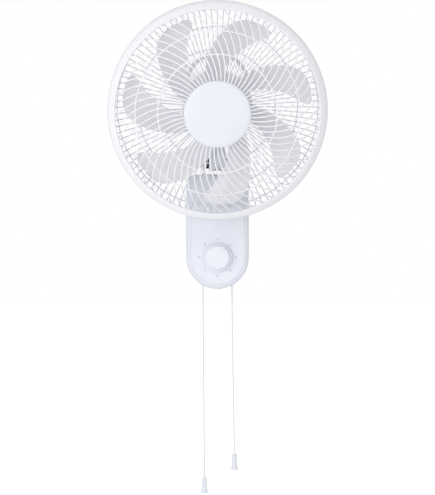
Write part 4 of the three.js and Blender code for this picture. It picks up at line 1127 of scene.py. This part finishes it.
def finish_solids():
    """Each solid that stays in sight takes the finish that its record names."""
    for row in frame["record"]["subparts"]:
        solid = NODES[row["node"]]
        finish = LAMINATE if "core" in row["node"] else FINISHES[row["material_slot"]]
        solid.data.materials.clear()
        solid.data.materials.append(finish)
        solid.data.shade_smooth()
        solid.data.set_sharp_from_angle(angle=math.radians(32))


finish_solids()

# ---------------------------------------------------------------- floor, air and lamps

FLOOR_Z = -500
FLOOR_RADII = (0, 800, 4000, 12000)
FLOOR_GLOW = 0.45
WHITE_SEEN = 1.0
AMBIENT = 0.66

# Each lamp's name, its place, aim and width in metres, and its watts.
LAMPS = (
    ("key", (-1.7, -2.8, 0.3), (0, -0.2, 0), 1.8, 17),
    ("fill", (-0.3, -3.1, -0.5), (0, -0.1, -0.1), 1.6, 28),
    ("back", (0.4, 2.2, 1.6), (0, 0, 0.1), 1.4, 5),
)


def seen_share(tree):
    """One where the camera sees a surface, also in gloss or through glass, and else nought."""
    path = node(tree, "ShaderNodeLightPath")
    return maths(tree, "MAXIMUM", path.outputs["Is Camera Ray"],
                 maths(tree, "MAXIMUM", path.outputs["Is Glossy Ray"],
                       path.outputs["Is Transmission Ray"]))


def floor_material():
    """Pale floor: white to the camera, while it still takes a soft shadow."""
    made = bpy.data.materials.new("pale_floor")
    made.use_nodes = True
    tree = made.node_tree
    tree.nodes.clear()
    place = node(tree, "ShaderNodeTexCoord").outputs["Object"]
    mottle = node(tree, "ShaderNodeTexNoise", Vector=place, Scale=3.0, Detail=4.0)
    tone = mixed(tree, mottle.outputs["Fac"], colour(250, 250, 250), colour(246, 246, 247))
    matt = node(tree, "ShaderNodeBsdfDiffuse", Color=tone)
    glow = node(tree, "ShaderNodeEmission", Color=colour(255, 255, 255), Strength=FLOOR_GLOW)
    none = node(tree, "ShaderNodeEmission", Strength=0.0)
    seen = seen_share(tree)
    lift = tree.nodes.new("ShaderNodeMixShader")
    join(tree, seen, lift.inputs[0])
    join(tree, none.outputs[0], lift.inputs[1])
    join(tree, glow.outputs[0], lift.inputs[2])
    total = tree.nodes.new("ShaderNodeAddShader")
    join(tree, matt.outputs[0], total.inputs[0])
    join(tree, lift.outputs[0], total.inputs[1])
    output = tree.nodes.new("ShaderNodeOutputMaterial")
    join(tree, total.outputs[0], output.inputs["Surface"])
    return made


def make_floor():
    disc = turned([(radius, 0) for radius in FLOOR_RADII], 64)
    made = mesh_object("floor", moved(about_z(disc), z=FLOOR_Z))
    made.data.materials.append(floor_material())


def make_world():
    world = bpy.data.worlds.new("studio")
    bpy.context.scene.world = world
    world.use_nodes = True
    tree = world.node_tree
    tree.nodes.clear()
    seen = seen_share(tree)
    air = node(tree, "ShaderNodeBackground", Color=(1, 1, 1, 1), Strength=AMBIENT)
    sight = node(tree, "ShaderNodeBackground", Color=(1, 1, 1, 1), Strength=WHITE_SEEN)
    sky = tree.nodes.new("ShaderNodeMixShader")
    join(tree, seen, sky.inputs[0])
    join(tree, air.outputs[0], sky.inputs[1])
    join(tree, sight.outputs[0], sky.inputs[2])
    output = tree.nodes.new("ShaderNodeOutputWorld")
    join(tree, sky.outputs[0], output.inputs["Surface"])


def area_lamp(name, place, aim, size, watts):
    data = bpy.data.lights.new(name, "AREA")
    data.shape = "DISK"
    data.size = size
    data.energy = watts
    lamp = bpy.data.objects.new(name, data)
    lamp.location = place
    lamp.rotation_euler = (Vector(aim) - Vector(place)).to_track_quat("-Z", "Y").to_euler()
    bpy.context.collection.objects.link(lamp)


make_floor()
make_world()
for lamp_values in LAMPS:
    area_lamp(*lamp_values)

bpy.context.scene.view_settings.view_transform = "Standard"
